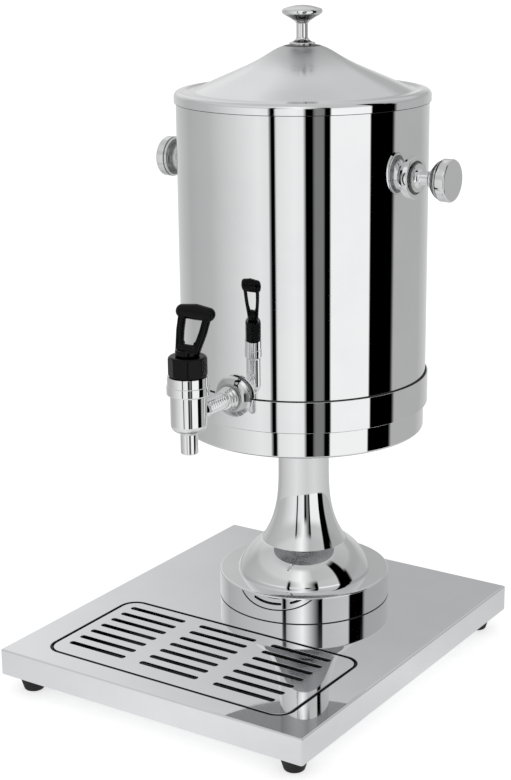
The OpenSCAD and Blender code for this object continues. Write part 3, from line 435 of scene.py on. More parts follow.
def rubber(name, dark, worn):
    """Matt black rubber, dusty where the second colour shows."""
    material, place = new_finish(name)
    dust = place.noise(130.0, 6.0)
    place.surface({"Base Color": dust.over(0.45, 0.75).blend(dark, worn),
                   "Roughness": dust.over(0.3, 0.7) * 0.18 + 0.62,
                   "Normal": place.noise(1500.0, 2.0).bump(0.35, 0.0004)})
    return material


foot_rubber = rubber("foot_rubber_black", (0.012, 0.012, 0.013, 1), (0.035, 0.035, 0.034, 1))
for node, side, end in (("foot_front_left", -1, -1), ("foot_front_right", 1, -1),
                        ("foot_rear_left", -1, 1), ("foot_rear_right", 1, 1)):
    foot = turned(node + "_rubber", FOOT_OUTLINE, (side * FOOT_X, end * FOOT_Y, 0), steps=64)
    smooth(foot)
    fitted(foot, foot_rubber, "stand", "foot_rubber", node)


# Drip grille. A pressed steel plate with a soft edge lies in the plate's opening, over the tray.
# It has three columns of seven punched slots, and the punch has left their rims a little round.
GRILLE = (237.6, 118.6, 4.5)
GRILLE_CORNER = 14
GRILLE_EDGE = 1.3
GRILLE_SHEET = 1.5
SLOT = (58.1, 5.7)
SLOT_STEPS = (74.2, 14.2)
SLOT_ROWS, SLOT_COLUMNS = 7, 3
SLOTS_SHIFT = (-5.8, 3.6)
SLOT_RIM = 0.2
grille_middle = plate_top - GRILLE[2] / 2

grille_steel = steel("grille_steel", (0.93, 0.94, 0.955), 0.02, 0.03, 0.012, 9.0, tray_gap_shade)
grille = block("drip_grille_steel", GRILLE, (0, TRAY_Y, grille_middle), GRILLE_CORNER, 16)
soften(grille, lambda middle, run: abs(middle.z - plate_top) < 0.01, GRILLE_EDGE, 5)
cut(grille, block("under", (GRILLE[0] - 2 * GRILLE_SHEET, GRILLE[1] - 2 * GRILLE_SHEET, 6),
                  (0, TRAY_Y, plate_top - GRILLE_SHEET - 3), GRILLE_CORNER - GRILLE_SHEET, 16))


def joined(pieces):
    """One piece made of several."""
    deselect()
    for one in pieces:
        one.select_set(True)
    bpy.context.view_layer.objects.active = pieces[0]
    bpy.ops.object.join()
    return bpy.context.object


punch = block("punch", (*SLOT, 8), (0, 0, 0), SLOT[1] / 2 - 0.5, 7)
punches = []
for column in range(SLOT_COLUMNS):
    for row in range(SLOT_ROWS):
        one = bpy.data.objects.new("punch", punch.data.copy())
        bpy.context.scene.collection.objects.link(one)
        one.location = Vector((
            SLOTS_SHIFT[0] + (column - (SLOT_COLUMNS - 1) / 2) * SLOT_STEPS[0],
            TRAY_Y + SLOTS_SHIFT[1] + (row - (SLOT_ROWS - 1) / 2) * SLOT_STEPS[1], plate_top)) * MM
        punches.append(one)
bpy.data.objects.remove(punch)
cut(grille, joined(punches))
soften(grille, lambda middle, run: on_top(middle, run, GRILLE, -6), SLOT_RIM, 3)
smooth(grille, 45)
fitted(grille, grille_steel, "grille", "polished_steel", "drip_grille")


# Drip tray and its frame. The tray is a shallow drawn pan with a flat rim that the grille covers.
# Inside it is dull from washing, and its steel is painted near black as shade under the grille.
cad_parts["drip_tray"].data.materials.clear()
tray_steel = steel("tray_steel", (0.10, 0.102, 0.105), 0.42, 0.12, 0.05, 30.0)
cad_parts["drip_tray"].data.materials.append(tray_steel)


def refinished(material, slot, *nodes):
    """Gives the plain parts, whose shapes are right as they are, a better material."""
    for node in nodes:
        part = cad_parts[node]
        part.data.materials.clear()
        part.data.materials.append(material)


inner_steel = steel("inner_steel", (0.55, 0.555, 0.56), 0.22, 0.14, 0.05, 26.0)
refinished(inner_steel, "plain_steel", "base_stiffener", "foot_screws", "foot_nuts", "tray_frame",
           "tie_rod", "rod_washers", "rod_nuts", "cup_stiffener", "tank_foot", "knob_studs",
           "knob_washers", "knob_nuts", "inner_nut", "lid_washer", "lid_screw")


# Pedestal. A low drum, a spun dome and a flared stem stand on each other on the tank's axis, and a
# rod through all three pulls them onto the plate. They are spun from sheet and mirror polished.
AXIS = (0, 68, 0)
PLINTH_TOP = plate_top + 24.5
CREASE = PLINTH_TOP + 28
CUP = CREASE + 108.5
SPUN_WALL = 1.5
ROD_HOLE = 6.6


def arc(x, z, r, start, end, steps=8):
    """Points on an arc round (x, z), from one angle to another, in degrees."""
    turns = [math.radians(start + (end - start) * i / steps) for i in range(steps + 1)]
    return [(x + r * math.cos(a), z + r * math.sin(a)) for a in turns]


def walled(outside, wall):
    """A closed outline: the outer line of a sheet, and an inner line one wall inside it."""
    points = [Vector(p) for p in outside]
    inside = []
    for i, point in enumerate(points):
        before = (point - points[i - 1]).normalized() if i else None
        after = (points[i + 1] - point).normalized() if i + 1 < len(points) else None
        before, after = before or after, after or before
        left = Vector((-before.y, before.x)) + Vector((-after.y, after.x))
        left.normalize()
        inside.append(point + left * wall / left.dot(Vector((-before.y, before.x))))
    return [tuple(p) for p in points + inside[::-1] + points[:1]]


mirror_steel = steel("mirror_steel", (0.915, 0.92, 0.925), 0.012, 0.022, 0.012, 7.0)
SEAM = 0.7
plinth = turned("plinth_steel", walled(
    [(76, plate_top + SEAM)] + arc(76 - 1.6, PLINTH_TOP - 1.6, 1.6, 0, 90)
    + [(ROD_HOLE, PLINTH_TOP)], SPUN_WALL), AXIS)
smooth(plinth)
fitted(plinth, mirror_steel, "stand", "polished_steel", "plinth")


def shadow_bead(name, inner, outer, foot, high, body):
    """A thin black ring put in as painted shade, which shows as a dark line where two steel parts
    meet.
    """
    bead = turned(name, [(inner, foot), (outer, foot), (outer, foot + high),
                         (inner, foot + high), (inner, foot)], AXIS, steps=192)
    smooth(bead)
    bead.data.materials.append(foot_rubber)
    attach(bead, body)


# Painted shade: a black ring where the plinth stands on the plate.
shadow_bead("plinth_bead", 74.6, 75.95, plate_top, SEAM, "stand")

dome_side = []
for i in range(33):
    u = i / 32
    straight = Vector((59, 1.8)).lerp(Vector((37.5, 28)), u)
    bulge = Vector((26.2, 21.5)).normalized() * (4 * 3 * u * (1 - u))
    dome_side.append((straight.x + bulge.x, PLINTH_TOP + straight.y + bulge.y))
dome = turned("dome_steel", walled(
    [(59, PLINTH_TOP)] + dome_side + [(ROD_HOLE, CREASE)], SPUN_WALL), AXIS)
smooth(dome)
fitted(dome, mirror_steel, "stand", "polished_steel", "dome")

stem_side = [(22.4 + 15.1 * (1 - i / 40) ** 3.2, CREASE + 73 * i / 40) for i in range(41)]
stem_outline = stem_side + [(22.4, CUP), (ROD_HOLE, CUP), (ROD_HOLE, CUP - 1.5), (20.9, CUP - 1.5)]
stem_outline += [(r - 1.5, z) for r, z in stem_side[::-1]] + stem_side[:1]
stem = turned("stem_steel", stem_outline, AXIS)
smooth(stem)
fitted(stem, mirror_steel, "stand", "polished_steel", "stem")


# Support cup. A shallow spun cup on the stem takes the tank's foot. Its wall is a band of the same
# mirror polish, a touch narrower than the tank, with a rounded bottom edge.
CUP_RADIUS = 105.0
cup_steel, place = new_finish("cup_steel")
# Painted shade: the cup's underside is painted darker; it is also rougher.
under = place.along("Z").over((CUP + 1.2) * MM, (CUP + 0.2) * MM)
place.surface({
    "Base Color": under.blend((0.91, 0.915, 0.92, 1), (0.42, 0.424, 0.43, 1)), "Metallic": 1.0,
    "Roughness": under * 0.22 + place.noise(16.0, 5.0).over(0.35, 0.75) * 0.03 + 0.012})
cup = turned("support_cup_steel", walled(
    [(ROD_HOLE, CUP)] + arc(CUP_RADIUS - 1.8, CUP + 1.8, 1.8, -90, 0)
    + [(CUP_RADIUS, CUP + 22.35), (CUP_RADIUS - 0.25, CUP + 22.6)], SPUN_WALL), AXIS, steps=192)
smooth(cup)
fitted(cup, cup_steel, "stand", "polished_steel", "support_cup")


# Tank. A rolled and welded shell carries a belt round its foot and folds over the inner vessel's
# rim. Both are mirror polished, and the belt's edges are rolled.
TANK_RADIUS = 106.2
SHELL_FOOT = 222.4
SHELL_TOP = SHELL_FOOT + 262.4
BELT_HEIGHT = 26.3
BELT_OUT = 2.1

shell = turned("tank_shell_steel", [
    (TANK_RADIUS, SHELL_FOOT), (TANK_RADIUS, SHELL_TOP - 1), (TANK_RADIUS, SHELL_TOP),
    (TANK_RADIUS - 1, SHELL_TOP), (TANK_RADIUS - 1, SHELL_FOOT), (TANK_RADIUS, SHELL_FOOT)],
    AXIS, steps=256)
smooth(shell)
fitted(shell, mirror_steel, "tank", "polished_steel", "tank_shell")

belt_radius = TANK_RADIUS + BELT_OUT
belt = turned("tank_belt_steel", [(TANK_RADIUS, SHELL_FOOT)]
              + arc(belt_radius - 0.2, SHELL_FOOT + 0.2, 0.2, -90, 0, 4)
              + arc(belt_radius - 0.3, SHELL_FOOT + BELT_HEIGHT - 0.3, 0.3, 0, 90, 4)
              + [(TANK_RADIUS, SHELL_FOOT + BELT_HEIGHT), (TANK_RADIUS, SHELL_FOOT)],
              AXIS, steps=256)
smooth(belt)
fitted(belt, mirror_steel, "tank", "polished_steel", "tank_belt")
# Painted shade: black rings over the belt and under the tank's foot.
shadow_bead("belt_bead", TANK_RADIUS + 0.05, TANK_RADIUS + 1.1, SHELL_FOOT + BELT_HEIGHT, 0.5, "tank")
shadow_bead("tank_foot_bead", CUP_RADIUS + 0.05, CUP_RADIUS + 0.8, SHELL_FOOT - 1.0, 0.95, "tank")


# Inner vessel and its insulation. The vessel is a drawn steel pot with a round floor edge, hung in
# the shell by its rim. Rigid foam fills the space round it.
VESSEL_RADIUS = 98.0
VESSEL_FLOOR = SHELL_FOOT + 10
vessel_steel = steel("vessel_steel", (0.80, 0.805, 0.81), 0.16, 0.10, 0.03, 18.0)
vessel = turned("inner_vessel_steel", walled(
    [(0, VESSEL_FLOOR)] + arc(VESSEL_RADIUS - 6, VESSEL_FLOOR + 6, 6, -90, 0, 12)
    + [(VESSEL_RADIUS, SHELL_TOP), (TANK_RADIUS, SHELL_TOP)], 0.8), AXIS, steps=192)
smooth(vessel)
fitted(vessel, vessel_steel, "tank", "polished_steel", "inner_vessel")

material, place = new_finish("insulation_foam")
cells = place.node("ShaderNodeTexVoronoi", {}, {"Vector": place, "Scale": 900.0})
place.surface({
    "Base Color": cells.over(0.0, 0.7).blend((0.55, 0.50, 0.34, 1), (0.78, 0.72, 0.52, 1)),
    "Roughness": 0.9, "Normal": cells.bump(0.6, 0.0006)})
refinished(material, "foam", "insulation")


# Side knobs. Each is a turned and chromed knob with a flat head and a waisted neck, on a stepped
# rosette that follows the tank's wall. A stud from inside the tank holds both.
KNOB_HEIGHT = SHELL_FOOT + 202
KNOB_FOOT = 5.2
# The painted shade in the groove round the rosette's raised middle: four radii and how dark it is
ROSETTE_SHADE_RING = (11.3, 12.2, 13.6, 14.2, 0.9)
# Bands of painted shade round the knob, each by four distances from its foot and how dark it is:
# where its neck flares into its head, behind the head's rim, and at the collar of its neck
KNOB_SHADE_BANDS = ((15.0, 16.6, 20.3, 21.3, 0.75), (22.0, 22.2, 23.0, 23.4, 0.8),
              (10.2, 10.6, 12.0, 12.4, 0.7))
CHROME = ((0.93, 0.932, 0.935), 0.006, 0.012, 0.003, 25.0)
chrome = steel("chrome", *CHROME)


def banded(distance, *bands):
    """How dark the bands make a distance, given in mm."""
    return sum(distance.between(*ends) * depth for *ends, depth in bands)


def rosette_groove_shade(place):
    """Nearly 1 in the painted shade of the groove round the rosette's raised middle."""
    return banded(place.from_axis((0, AXIS[1] * MM, KNOB_HEIGHT * MM), (0, 1, 1)) * (1 / MM),
                  ROSETTE_SHADE_RING)


# Painted shade in the groove round the rosette's middle.
rosette_chrome = steel("rosette_chrome", *CHROME, rosette_groove_shade)


def knob_shadow(place):
    """Nearly 1 in the bands of painted shade round the knob's neck and head."""
    out = place.sum_of("ABSOLUTE", place.along("X")) * (1 / MM) - (TANK_RADIUS + KNOB_FOOT)
    return banded(out, *KNOB_SHADE_BANDS)


# Painted shade in bands round the side knobs.
knob_chrome = steel("knob_chrome", *CHROME, knob_shadow)
knob_outline = [(3, 0), (8.7, 0)]
knob_outline += [(6.1 + 2.6 * (1 - i / 10) ** 2.2, 4.4 * i / 10) for i in range(1, 11)]
knob_outline += [(6.1, 10.4), (6.25, 11.2), (6.6, 12.0), (8.1, 12.3), (8.4, 12.5), (8.4, 12.9)]
knob_outline += [(8.4 + 7.7 * math.sin(math.radians(90 * i / 12)), 13.0 + 8.4 * i / 12)
                 for i in range(1, 13)]
knob_outline += [(16.4, 21.6), (17.0, 22.1), (17.4, 22.8)] + arc(15.5, 29.1, 2, 0, 82, 8)
knob_outline += [(15.5 * (1 - i / 8), 32 - 0.9 * (1 - i / 8) ** 2) for i in range(1, 8)]
knob_outline += [(0, 32), (0, 16), (3, 16), (3, 0)]
rosette_outline = [(3.1, -5), (17.7, -5)] + arc(16.6, 1.9, 1.1, 0, 90, 6)
rosette_outline += [(14.2, 2.8), (13.4, 2.5), (12.6, 2.9), (11.9, 4.1)]
rosette_outline += arc(10.9, 4.2, 1.0, 0, 90, 5) + [(9.6, 5.2), (3.1, 5.2), (3.1, -5)]


def drilled(piece, radius, depth, centre, steps=96, rotation=(0, 0, 0)):
    """Cuts a round hole, given in mm, through a piece."""
    deselect()
    bpy.ops.mesh.primitive_cylinder_add(
        vertices=steps, radius=radius * MM, depth=depth * MM,
        location=[value * MM for value in centre], rotation=rotation)
    cut(piece, bpy.context.object)


for side, word in ((-1, "left"), (1, "right")):
    outwards = Vector((side, 0, 0))
    foot = (side * (TANK_RADIUS + KNOB_FOOT), AXIS[1], KNOB_HEIGHT)
    knob = turned("side_knob_" + word + "_chrome", knob_outline, foot, outwards, (0, 0, 1), 96)
    smooth(knob)
    fitted(knob, knob_chrome, "tank", "polished_steel", "side_knob_" + word)
    foot = (side * TANK_RADIUS, AXIS[1], KNOB_HEIGHT)
    rosette = turned("rosette_" + word + "_chrome", rosette_outline, foot, outwards, (0, 0, 1), 128)
    drilled(rosette, TANK_RADIUS, 80, (0, AXIS[1], KNOB_HEIGHT), 256)
    smooth(rosette)
    fitted(rosette, rosette_chrome, "tank", "polished_steel", "knob_rosette_" + word)


# Tap. A turned and chromed barrel with a stepped collar, a round bottom and a thin spout. A grooved
# shank runs back through the tank's wall, and a ridged nut holds it against a domed escutcheon.
TAP_Y = -103.7
TAP = (0, TAP_Y, 0)
SHANK_Z = 249.8
BARREL_FOOT = 236.6
COLLAR_FOOT = SHANK_Z + 18
BARREL_TOP = COLLAR_FOOT + 15
ESCUTCHEON_BACK = 108.4
LOCK_NUT_BACK = ESCUTCHEON_BACK + 6.4
LOCK_NUT_RADIUS = 10.2
SHANK_RADIUS, GROOVE_RADIUS = 6.5, 5.9
TOWARDS_TAP = (0, -1, 0)

barrel_outline = [(5, BARREL_FOOT - 18), (6.7, BARREL_FOOT - 18), (7.0, BARREL_FOOT - 17.7),
                  (7.1, BARREL_FOOT - 17.2), (7.15, BARREL_FOOT - 1.6), (7.3, BARREL_FOOT - 1.0),
                  (7.8, BARREL_FOOT - 0.6), (8.3, BARREL_FOOT - 0.2)]
barrel_outline += [(14.6 - 6.3 + 6.3 * math.cos(math.radians(a)),
                    BARREL_FOOT + 6.8 * (1 + math.sin(math.radians(a)))) for a in range(-84, 1, 6)]
barrel_outline += [(14.6, COLLAR_FOOT - 1), (15.2, COLLAR_FOOT - 0.5), (16.3, COLLAR_FOOT - 0.1),
                   (17.1, COLLAR_FOOT + 0.3), (17.3, COLLAR_FOOT + 0.9), (17.3, COLLAR_FOOT + 6.8),
                   (17.15, COLLAR_FOOT + 7.2), (16.7, COLLAR_FOOT + 7.5), (16.7, BARREL_TOP - 0.6),
                   (16.5, BARREL_TOP - 0.1), (16.1, BARREL_TOP), (12.8, BARREL_TOP),
                   (12.8, BARREL_TOP + 7), (11, BARREL_TOP + 7), (11, BARREL_FOOT + 3.2),
                   (5, BARREL_FOOT + 3.2), (5, BARREL_FOOT - 18)]
barrel = turned("tap_barrel_chrome", barrel_outline, TAP, steps=128)
drilled(barrel, 6.52, 16, (0, TAP_Y + 8 + 6.6, SHANK_Z), rotation=(math.pi / 2, 0, 0))
smooth(barrel)
fitted(barrel, chrome, "tank", "polished_steel", "tap_body")


def tank_shadow(place):
    """The escutcheon lies in the shadow of the nut and the shank: deepest near the shank."""
    radius = place.from_axis((0, 0, SHANK_Z * MM), (1, 0, 1))
    return radius.over(16.6 * MM, 15.4 * MM) * 0.35 + radius.over(12.5 * MM, 10.5 * MM) * 0.3


dim_chrome = steel("dim_chrome", *CHROME, tank_shadow)
grooves = [point for start in range(127, 147, 3) for point in (
    (SHANK_RADIUS, start), (GROOVE_RADIUS, start + 0.4), (GROOVE_RADIUS, start + 1.2),
    (SHANK_RADIUS, start + 1.6))]
shank = turned("tap_shank_chrome", [(4.3, 86.7), (6.5, 86.7)] + grooves + [
    (6.5, 149), (7.6, 150.4), (8.4, 153.2), (8.4, 155.4), (7.0, 157.2), (6.5, 159.6),
    (4.3, 159.6), (4.3, 86.7)], (0, AXIS[1], SHANK_Z), TOWARDS_TAP, (0, 0, 1), 96)
drilled(shank, 13.2, 30, (0, TAP_Y, SHANK_Z))
smooth(shank)
fitted(shank, chrome, "tank", "polished_steel", "tap_shank")

nut_outline = [(6.6, LOCK_NUT_BACK)]
for ridge in range(3):
    size = LOCK_NUT_RADIUS * (1 - 0.08 * ridge)
    start = LOCK_NUT_BACK + 10 * ridge / 3
    nut_outline += [(size - 0.5, start + 0.33), (size - 0.1, start + 0.75), (size, start + 1.2),
                    (size, start + 2.2), (size - 0.25, start + 2.7), (size - 1.1, start + 3.17)]
nut_outline += [(6.6, LOCK_NUT_BACK + 10), (6.6, LOCK_NUT_BACK)]
lock_nut = turned("tap_lock_nut_chrome", nut_outline, (0, AXIS[1], SHANK_Z), TOWARDS_TAP,
                  (0, 0, 1), 96)
smooth(lock_nut)
fitted(lock_nut, chrome, "tank", "polished_steel", "tap_lock_nut")

dish = [(17.3 - 7.8 * i / 16, ESCUTCHEON_BACK + 6.4 * (0.3 + 0.7 * math.sin(math.pi * i / 32)))
        for i in range(17)]
escutcheon = turned("tap_escutcheon_chrome", [
    (6.6, ESCUTCHEON_BACK), (17.1, ESCUTCHEON_BACK), (17.3, ESCUTCHEON_BACK + 0.3)] + dish
    + [(6.6, ESCUTCHEON_BACK + 6.4), (6.6, ESCUTCHEON_BACK)],
    (0, AXIS[1], SHANK_Z), TOWARDS_TAP, (0, 0, 1), 128)
smooth(escutcheon)
fitted(escutcheon, dim_chrome, "tank", "polished_steel", "tap_escutcheon")


# Seals. Milky silicone rings lie behind the escutcheon, inside the vessel, under the bonnet and
# under the lid, and a soft plug on the valve's stem closes the seat.
material, place = new_finish("silicone_milky")
haze = place.noise(220.0, 4.0)
place.surface({
    "Base Color": haze.over(0.35, 0.7).blend((0.72, 0.72, 0.68, 1), (0.80, 0.80, 0.77, 1)),
    "Roughness": haze.over(0.3, 0.7) * 0.12 + 0.4, "Normal": haze.bump(0.15, 0.0003)})
refinished(material, "silicone", "outer_gasket", "inner_gasket", "bonnet_seal", "seat_plug",
           "lid_gasket")


# Bonnet. A glossy black moulded cap with eight flats screws over the barrel's neck. Its lower
# corners are turned away, its top edge is round, and the moulding's edges are a little soft.
BONNET_FOOT = BARREL_TOP + 0.2
BONNET_HEIGHT = 16.2
BONNET_RADIUS = 16
BONNET_TURN = math.radians(36)


def plastic(name, dark, smudged, gloss, grain_size, grain_strength):
    """Moulded black plastic: a fine orange peel, and a haze of fingerprints."""
    material, place = new_finish(name)
    peel = place.noise(grain_size, 2.0)
    prints = place.noise(90.0, 5.0)
    place.surface({"Base Color": prints.over(0.4, 0.8).blend(dark, smudged),
                   "Roughness": prints.over(0.35, 0.7) * 0.07 + gloss, "Specular IOR Level": 0.17,
                   "Normal": peel.bump(grain_strength, 0.0002)})
    return material


black_plastic = plastic("black_plastic_glossy", (0.002, 0.002, 0.0022, 1),
                        (0.004, 0.004, 0.0044, 1), 0.09, 150.0, 0.01)
deselect()
bpy.ops.mesh.primitive_cylinder_add(
    vertices=8, radius=BONNET_RADIUS * MM, depth=BONNET_HEIGHT * MM, rotation=(0, 0, BONNET_TURN),
    location=(0, TAP_Y * MM, (BONNET_FOOT + BONNET_HEIGHT / 2) * MM))
bpy.ops.object.transform_apply(location=True, rotation=True, scale=True)
bonnet = named("tap_bonnet_black")
soften(bonnet, lambda middle, run: abs(run.z) > 0.9, 0.9, 4)
blank = turned("blank", [(0, BONNET_FOOT), (14.4, BONNET_FOOT), (15.0, BONNET_FOOT + 0.35),
                         (15.65, BONNET_FOOT + 1.6)]
               + arc(15.65 - 2.6, BONNET_FOOT + BONNET_HEIGHT - 2.6, 2.6, 0, 90, 10)
               + [(0, BONNET_FOOT + BONNET_HEIGHT)], TAP, steps=128)
cut(bonnet, blank, "INTERSECT")
bore = turned("bore", [(0, BONNET_FOOT - 2), (12.9, BONNET_FOOT - 2), (12.9, BONNET_FOOT + 8),
                       (11, BONNET_FOOT + 8), (11, BONNET_FOOT + 13.2), (2.28, BONNET_FOOT + 13.2),
                       (2.28, BONNET_FOOT + 20), (0, BONNET_FOOT + 20)], TAP, steps=64)
cut(bonnet, bore)
smooth(bonnet, 30)
fitted(bonnet, black_plastic, "tank", "black_plastic", "tap_bonnet")


# Valve. A thin steel stem runs from the plug up through the bonnet to the lever's pin. A coiled
# steel wire round it stands between its collar and the bonnet; the real one shortens as the stem
# rises, and here it is a copy of the plain part in one shape.
refinished(inner_steel, "plain_steel", "valve_stem", "lever_pin")
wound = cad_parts["valve_spring"]
spring = bpy.data.objects.new("valve_spring_steel", wound.data.copy())
bpy.context.scene.collection.objects.link(spring)
spring.data.transform(wound.matrix_world)
fitted(spring, inner_steel, "tank", "plain_steel", "valve_spring")
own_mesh(spring)


# Lever. One black moulding: a round foot that rocks on the bonnet, two legs that lean back towards
# the tank, and a thick bar across them for the fingers. Each leg has a groove down its front.
LEVER_FOOT = BONNET_FOOT + BONNET_HEIGHT + 0.3
LEVER_LEAN = math.radians(22)
LEVER_FOOT_HEIGHT = 5
LEG = (6.4, 7.8)
LEG_FOOT_X, LEG_TOP_X = 8.1, 12.1
LEG_KNEE_X, LEG_KNEE_Z = 10.9, 18.9
LEG_GROOVE = (0.9, 1.2, 0.9)
BAR_Z = 34.8
PIN_UP = 2.3
SKIN_CELL = 0.00042


def leaned(x, y, z):
    """A point of the loop in mm, before its lean, as a place over the bonnet in metres."""
    z -= 2
    return Vector((x, TAP_Y + y * math.cos(LEVER_LEAN) + z * math.sin(LEVER_LEAN),
                   LEVER_FOOT + 2 + z * math.cos(LEVER_LEAN) - y * math.sin(LEVER_LEAN))) * MM


def lump(sizes, centre):
    """A round lump of the moulding, leaned with the loop."""
    deselect()
    bpy.ops.mesh.primitive_uv_sphere_add(segments=40, ring_count=24, radius=1)
    piece = bpy.context.object
    piece.data.transform(Matrix.Diagonal((*[s * MM for s in sizes], 1)))
    piece.data.transform(Matrix.Rotation(-LEVER_LEAN, 4, "X"))
    piece.data.transform(Matrix.Translation(leaned(*centre)))
    return piece


def skinned(lumps):
    """One tight skin over several lumps, as between two turned ends of a bar."""
    piece = joined(lumps)
    bpy.ops.object.mode_set(mode="EDIT")
    bpy.ops.mesh.select_all(action="SELECT")
    bpy.ops.mesh.convex_hull()
    bpy.ops.object.mode_set(mode="OBJECT")
    return piece


parts = [turned("lever_foot", [(0, LEVER_FOOT), (9.7, LEVER_FOOT), (9.9, LEVER_FOOT + 0.2)]
                + arc(8.4, LEVER_FOOT + 3.5, 1.5, 0, 90, 6) + [(0, LEVER_FOOT + 5)], TAP, steps=64)]
for side in (-1, 1):
    thick = (LEG[0] / 2, LEG[1] / 2, LEG[0] / 2)
    foot, knee, top = ((side * LEG_FOOT_X, 0, LEVER_FOOT_HEIGHT - 0.7),
                       (side * LEG_KNEE_X, 0, LEG_KNEE_Z), (side * LEG_TOP_X, 0, BAR_Z - 1.3))
    parts.append(skinned([lump(thick, foot), lump(thick, knee)]))
    parts.append(skinned([lump(thick, knee), lump(thick, top)]))
parts.append(skinned([lump((3.57, 4.03, 2.83), (side * (LEG_FOOT_X - 0.25), 0,
                                               LEVER_FOOT_HEIGHT - 1.6)) for side in (-1, 1)]))
parts.append(skinned([lump((2.6, 3.8, 2.6), (side * 4.4, 0, 6.1)) for side in (-1, 1)]))
parts += [lump((1.7, 3.6, 2.2), (side * 6.8, 0, 9.4)) for side in (-1, 1)]
parts.append(skinned([lump((5.5, 4.5, 5.6), (side * 13, 0, BAR_Z - 0.6)) for side in (-1, 1)]
                     + [lump((9, 4.5, 6.5), (0, 0, BAR_Z))]))
joined(parts)
lever = named("tap_lever_black")
applied(lever, "REMESH", mode="VOXEL", voxel_size=SKIN_CELL, adaptivity=0.0)
applied(lever, "SMOOTH", factor=0.5, iterations=9)
for side in (-1, 1):
    foot, knee, top = ((side * (LEG_FOOT_X + 0.3), -3.9, 8.5),
                       (side * LEG_KNEE_X, -4.1, LEG_KNEE_Z),
                       (side * (LEG_TOP_X - 0.4), -3.9, BAR_Z - 7.5))
    cut(lever, skinned([lump(LEG_GROOVE, foot), lump(LEG_GROOVE, knee)]))
    cut(lever, skinned([lump(LEG_GROOVE, knee), lump(LEG_GROOVE, top)]))
applied(lever, "SMOOTH", factor=0.5, iterations=3)
for radius, depth in ((1.46, 30), (3.1, 5.1)):
    drilled(lever, radius, depth, (0, TAP_Y, LEVER_FOOT + PIN_UP), 64, (0, math.pi / 2, 0))
cut(lever, block("throat", (5.1, 6.8, 4), (0, TAP_Y - 0.9, LEVER_FOOT + 0.2)))
smooth(lever, 40)
fitted(lever, black_plastic, "lever", "black_plastic", "tap_lever")


# Lid. A spun steel cone with a rolled rim. A shallow crown and valley run round inside the rim, and
# the cone has a satin polish, so that it shows soft light and no sharp bands. The rim is bright.
TANK_TOP = SHELL_TOP + 0.8
LID_RADIUS = 107.8
LID_CROWN = TANK_TOP + 4.9
LID_CONE_TOP = LID_CROWN + 36.4
# Radii between which the looks change: the rim's bright polish ends, the satin deepens, the painted
# dark reflection round the knob's flange ends, and the painted shade on the cone's middle fades out
POLISH_ENDS = (107.5, 103.5)
SATIN_DEEPENS = (60, 16)
FLANGE_REFLECTION = (14.5, 16.5)
MIDDLE_SHADE = (12, 56)

lid_outside = [(LID_RADIUS, TANK_TOP - 4.3)]
lid_outside += arc(LID_RADIUS - 4.5, LID_CROWN - 4.5, 4.5, 0, 90, 14)
lid_outside += [(LID_RADIUS - 4.5 - 12.3 * i / 20, LID_CROWN + 0.5 * math.sin(math.tau * i / 20))
                for i in range(1, 21)]
cone = [(80, 5.15), (70, 9.55), (61, 13.4), (54, 16.4), (46, 19.9), (39, 23.25), (33, 26.6),
        (28, 29.65), (24.5, 31.75), (21, 33.6), (18, 34.85), (15.5, 35.7), (13, 36.2), (11.5, 36.4)]
lid_outside += [(r, LID_CROWN + up) for r, up in cone]
lid_outside += [(2.6, LID_CONE_TOP)]
lid = turned("lid_shell_steel", walled(lid_outside, 1.0), AXIS, steps=256)
smooth(lid, 25)

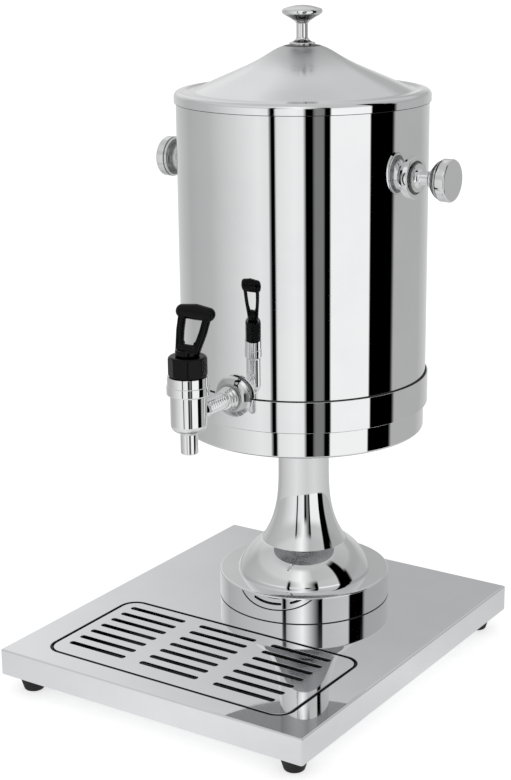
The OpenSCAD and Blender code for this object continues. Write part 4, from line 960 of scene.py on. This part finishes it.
material, place = new_finish("lid_satin")
radius = place.from_axis((0, AXIS[1] * MM, 0), (1, 1, 0)) * (1 / MM)
turning = place.node("ShaderNodeCombineXYZ", {}, {"X": radius * 0.9, "Y": 0.0, "Z": 0.0})
lines = turning.noise(1.0, 3.0)
satin = radius.over(*POLISH_ENDS) * 0.07 + radius.over(*SATIN_DEEPENS) * 0.32
worn = place.noise(14.0, 3.0).over(0.3, 0.7).blend((0.95, 0.955, 0.965, 1), (0.92, 0.925, 0.94, 1))
# Painted light: the colour is painted darker towards the knob as shade, and near black round the
# knob's flange as its reflection.
shaded = radius.over(*MIDDLE_SHADE).blend((0.66, 0.665, 0.67, 1), worn)
place.surface({
    "Base Color": radius.over(*FLANGE_REFLECTION).blend((0.10, 0.10, 0.10, 1), shaded),
    "Metallic": 1.0, "Roughness": satin + lines.over(0.3, 0.7) * 0.02 + 0.02,
    "Normal": lines.bump(0.01, 0.0003)})
fitted(lid, material, "lid", "polished_steel", "lid_shell")
# Painted shade: a black ring under the lid's skirt.
shadow_bead("lid_bead", TANK_RADIUS + 0.05, TANK_RADIUS + 1.0, TANK_TOP - 4.85, 0.55, "lid")

LINER_RADIUS = 95.8
liner = turned("lid_liner_steel", walled(
    [(0, TANK_TOP - 9.3)] + arc(LINER_RADIUS - 3, TANK_TOP - 6.3, 3, -90, 0, 8)
    + [(LINER_RADIUS, TANK_TOP + 2.3), (LID_RADIUS - 4.1, TANK_TOP + 2.3)], 0.8), AXIS, steps=192)
smooth(liner)
fitted(liner, vessel_steel, "lid", "polished_steel", "lid_liner")


# Lid knob. A turned and chromed knob: a domed head over a trumpet neck, and a round flange that
# stands on the cone's flat top. A screw from inside the lid holds it.
# The bands of painted shade under its head and over its flange: four heights over its foot and how
# dark it is
LID_KNOB_SHADE_BANDS = ((19.5, 21.5, 24.4, 25.2, 0.88), (2.1, 2.3, 3.4, 4.4, 0.88))

knob_outline = [(2.6, 0), (10.5, 0)] + arc(9.8, 1.1, 1.1, -60, 90, 10)
knob_outline += [(4.9 + 3.6 * (1 - i / 10) ** 2.2, 2.2 + 4.6 * i / 10) for i in range(11)]
knob_outline += [(4.9 + 10.5 * (i / 16) ** 1.55, 16.9 + 7.7 * i / 16) for i in range(17)]
knob_outline += [(14.4 + 2.6 * math.cos(math.radians(a)), 27.2 + 2.6 * math.sin(math.radians(a)))
                 for a in range(-60, 61, 10)]
knob_outline += [(14.8 * (1 - i / 6), 32.3 - 2.6 * (1 - i / 6) ** 2) for i in range(1, 6)]
knob_outline += [(0, 32.3), (0, 14), (2.6, 14), (2.6, 0)]


def under_head(place):
    """Nearly 1 in the painted shade under the knob's head and in the groove over its flange."""
    return banded(place.along("Z") * (1 / MM) - LID_CONE_TOP, *LID_KNOB_SHADE_BANDS)


# Painted shade under the lid knob's head and over its flange.
shaded_chrome = steel("shaded_chrome", *CHROME, under_head)
lid_knob = turned("lid_knob_chrome", knob_outline, (0, AXIS[1], LID_CONE_TOP), steps=128)
smooth(lid_knob, 45)
fitted(lid_knob, shaded_chrome, "lid", "polished_steel", "lid_knob")
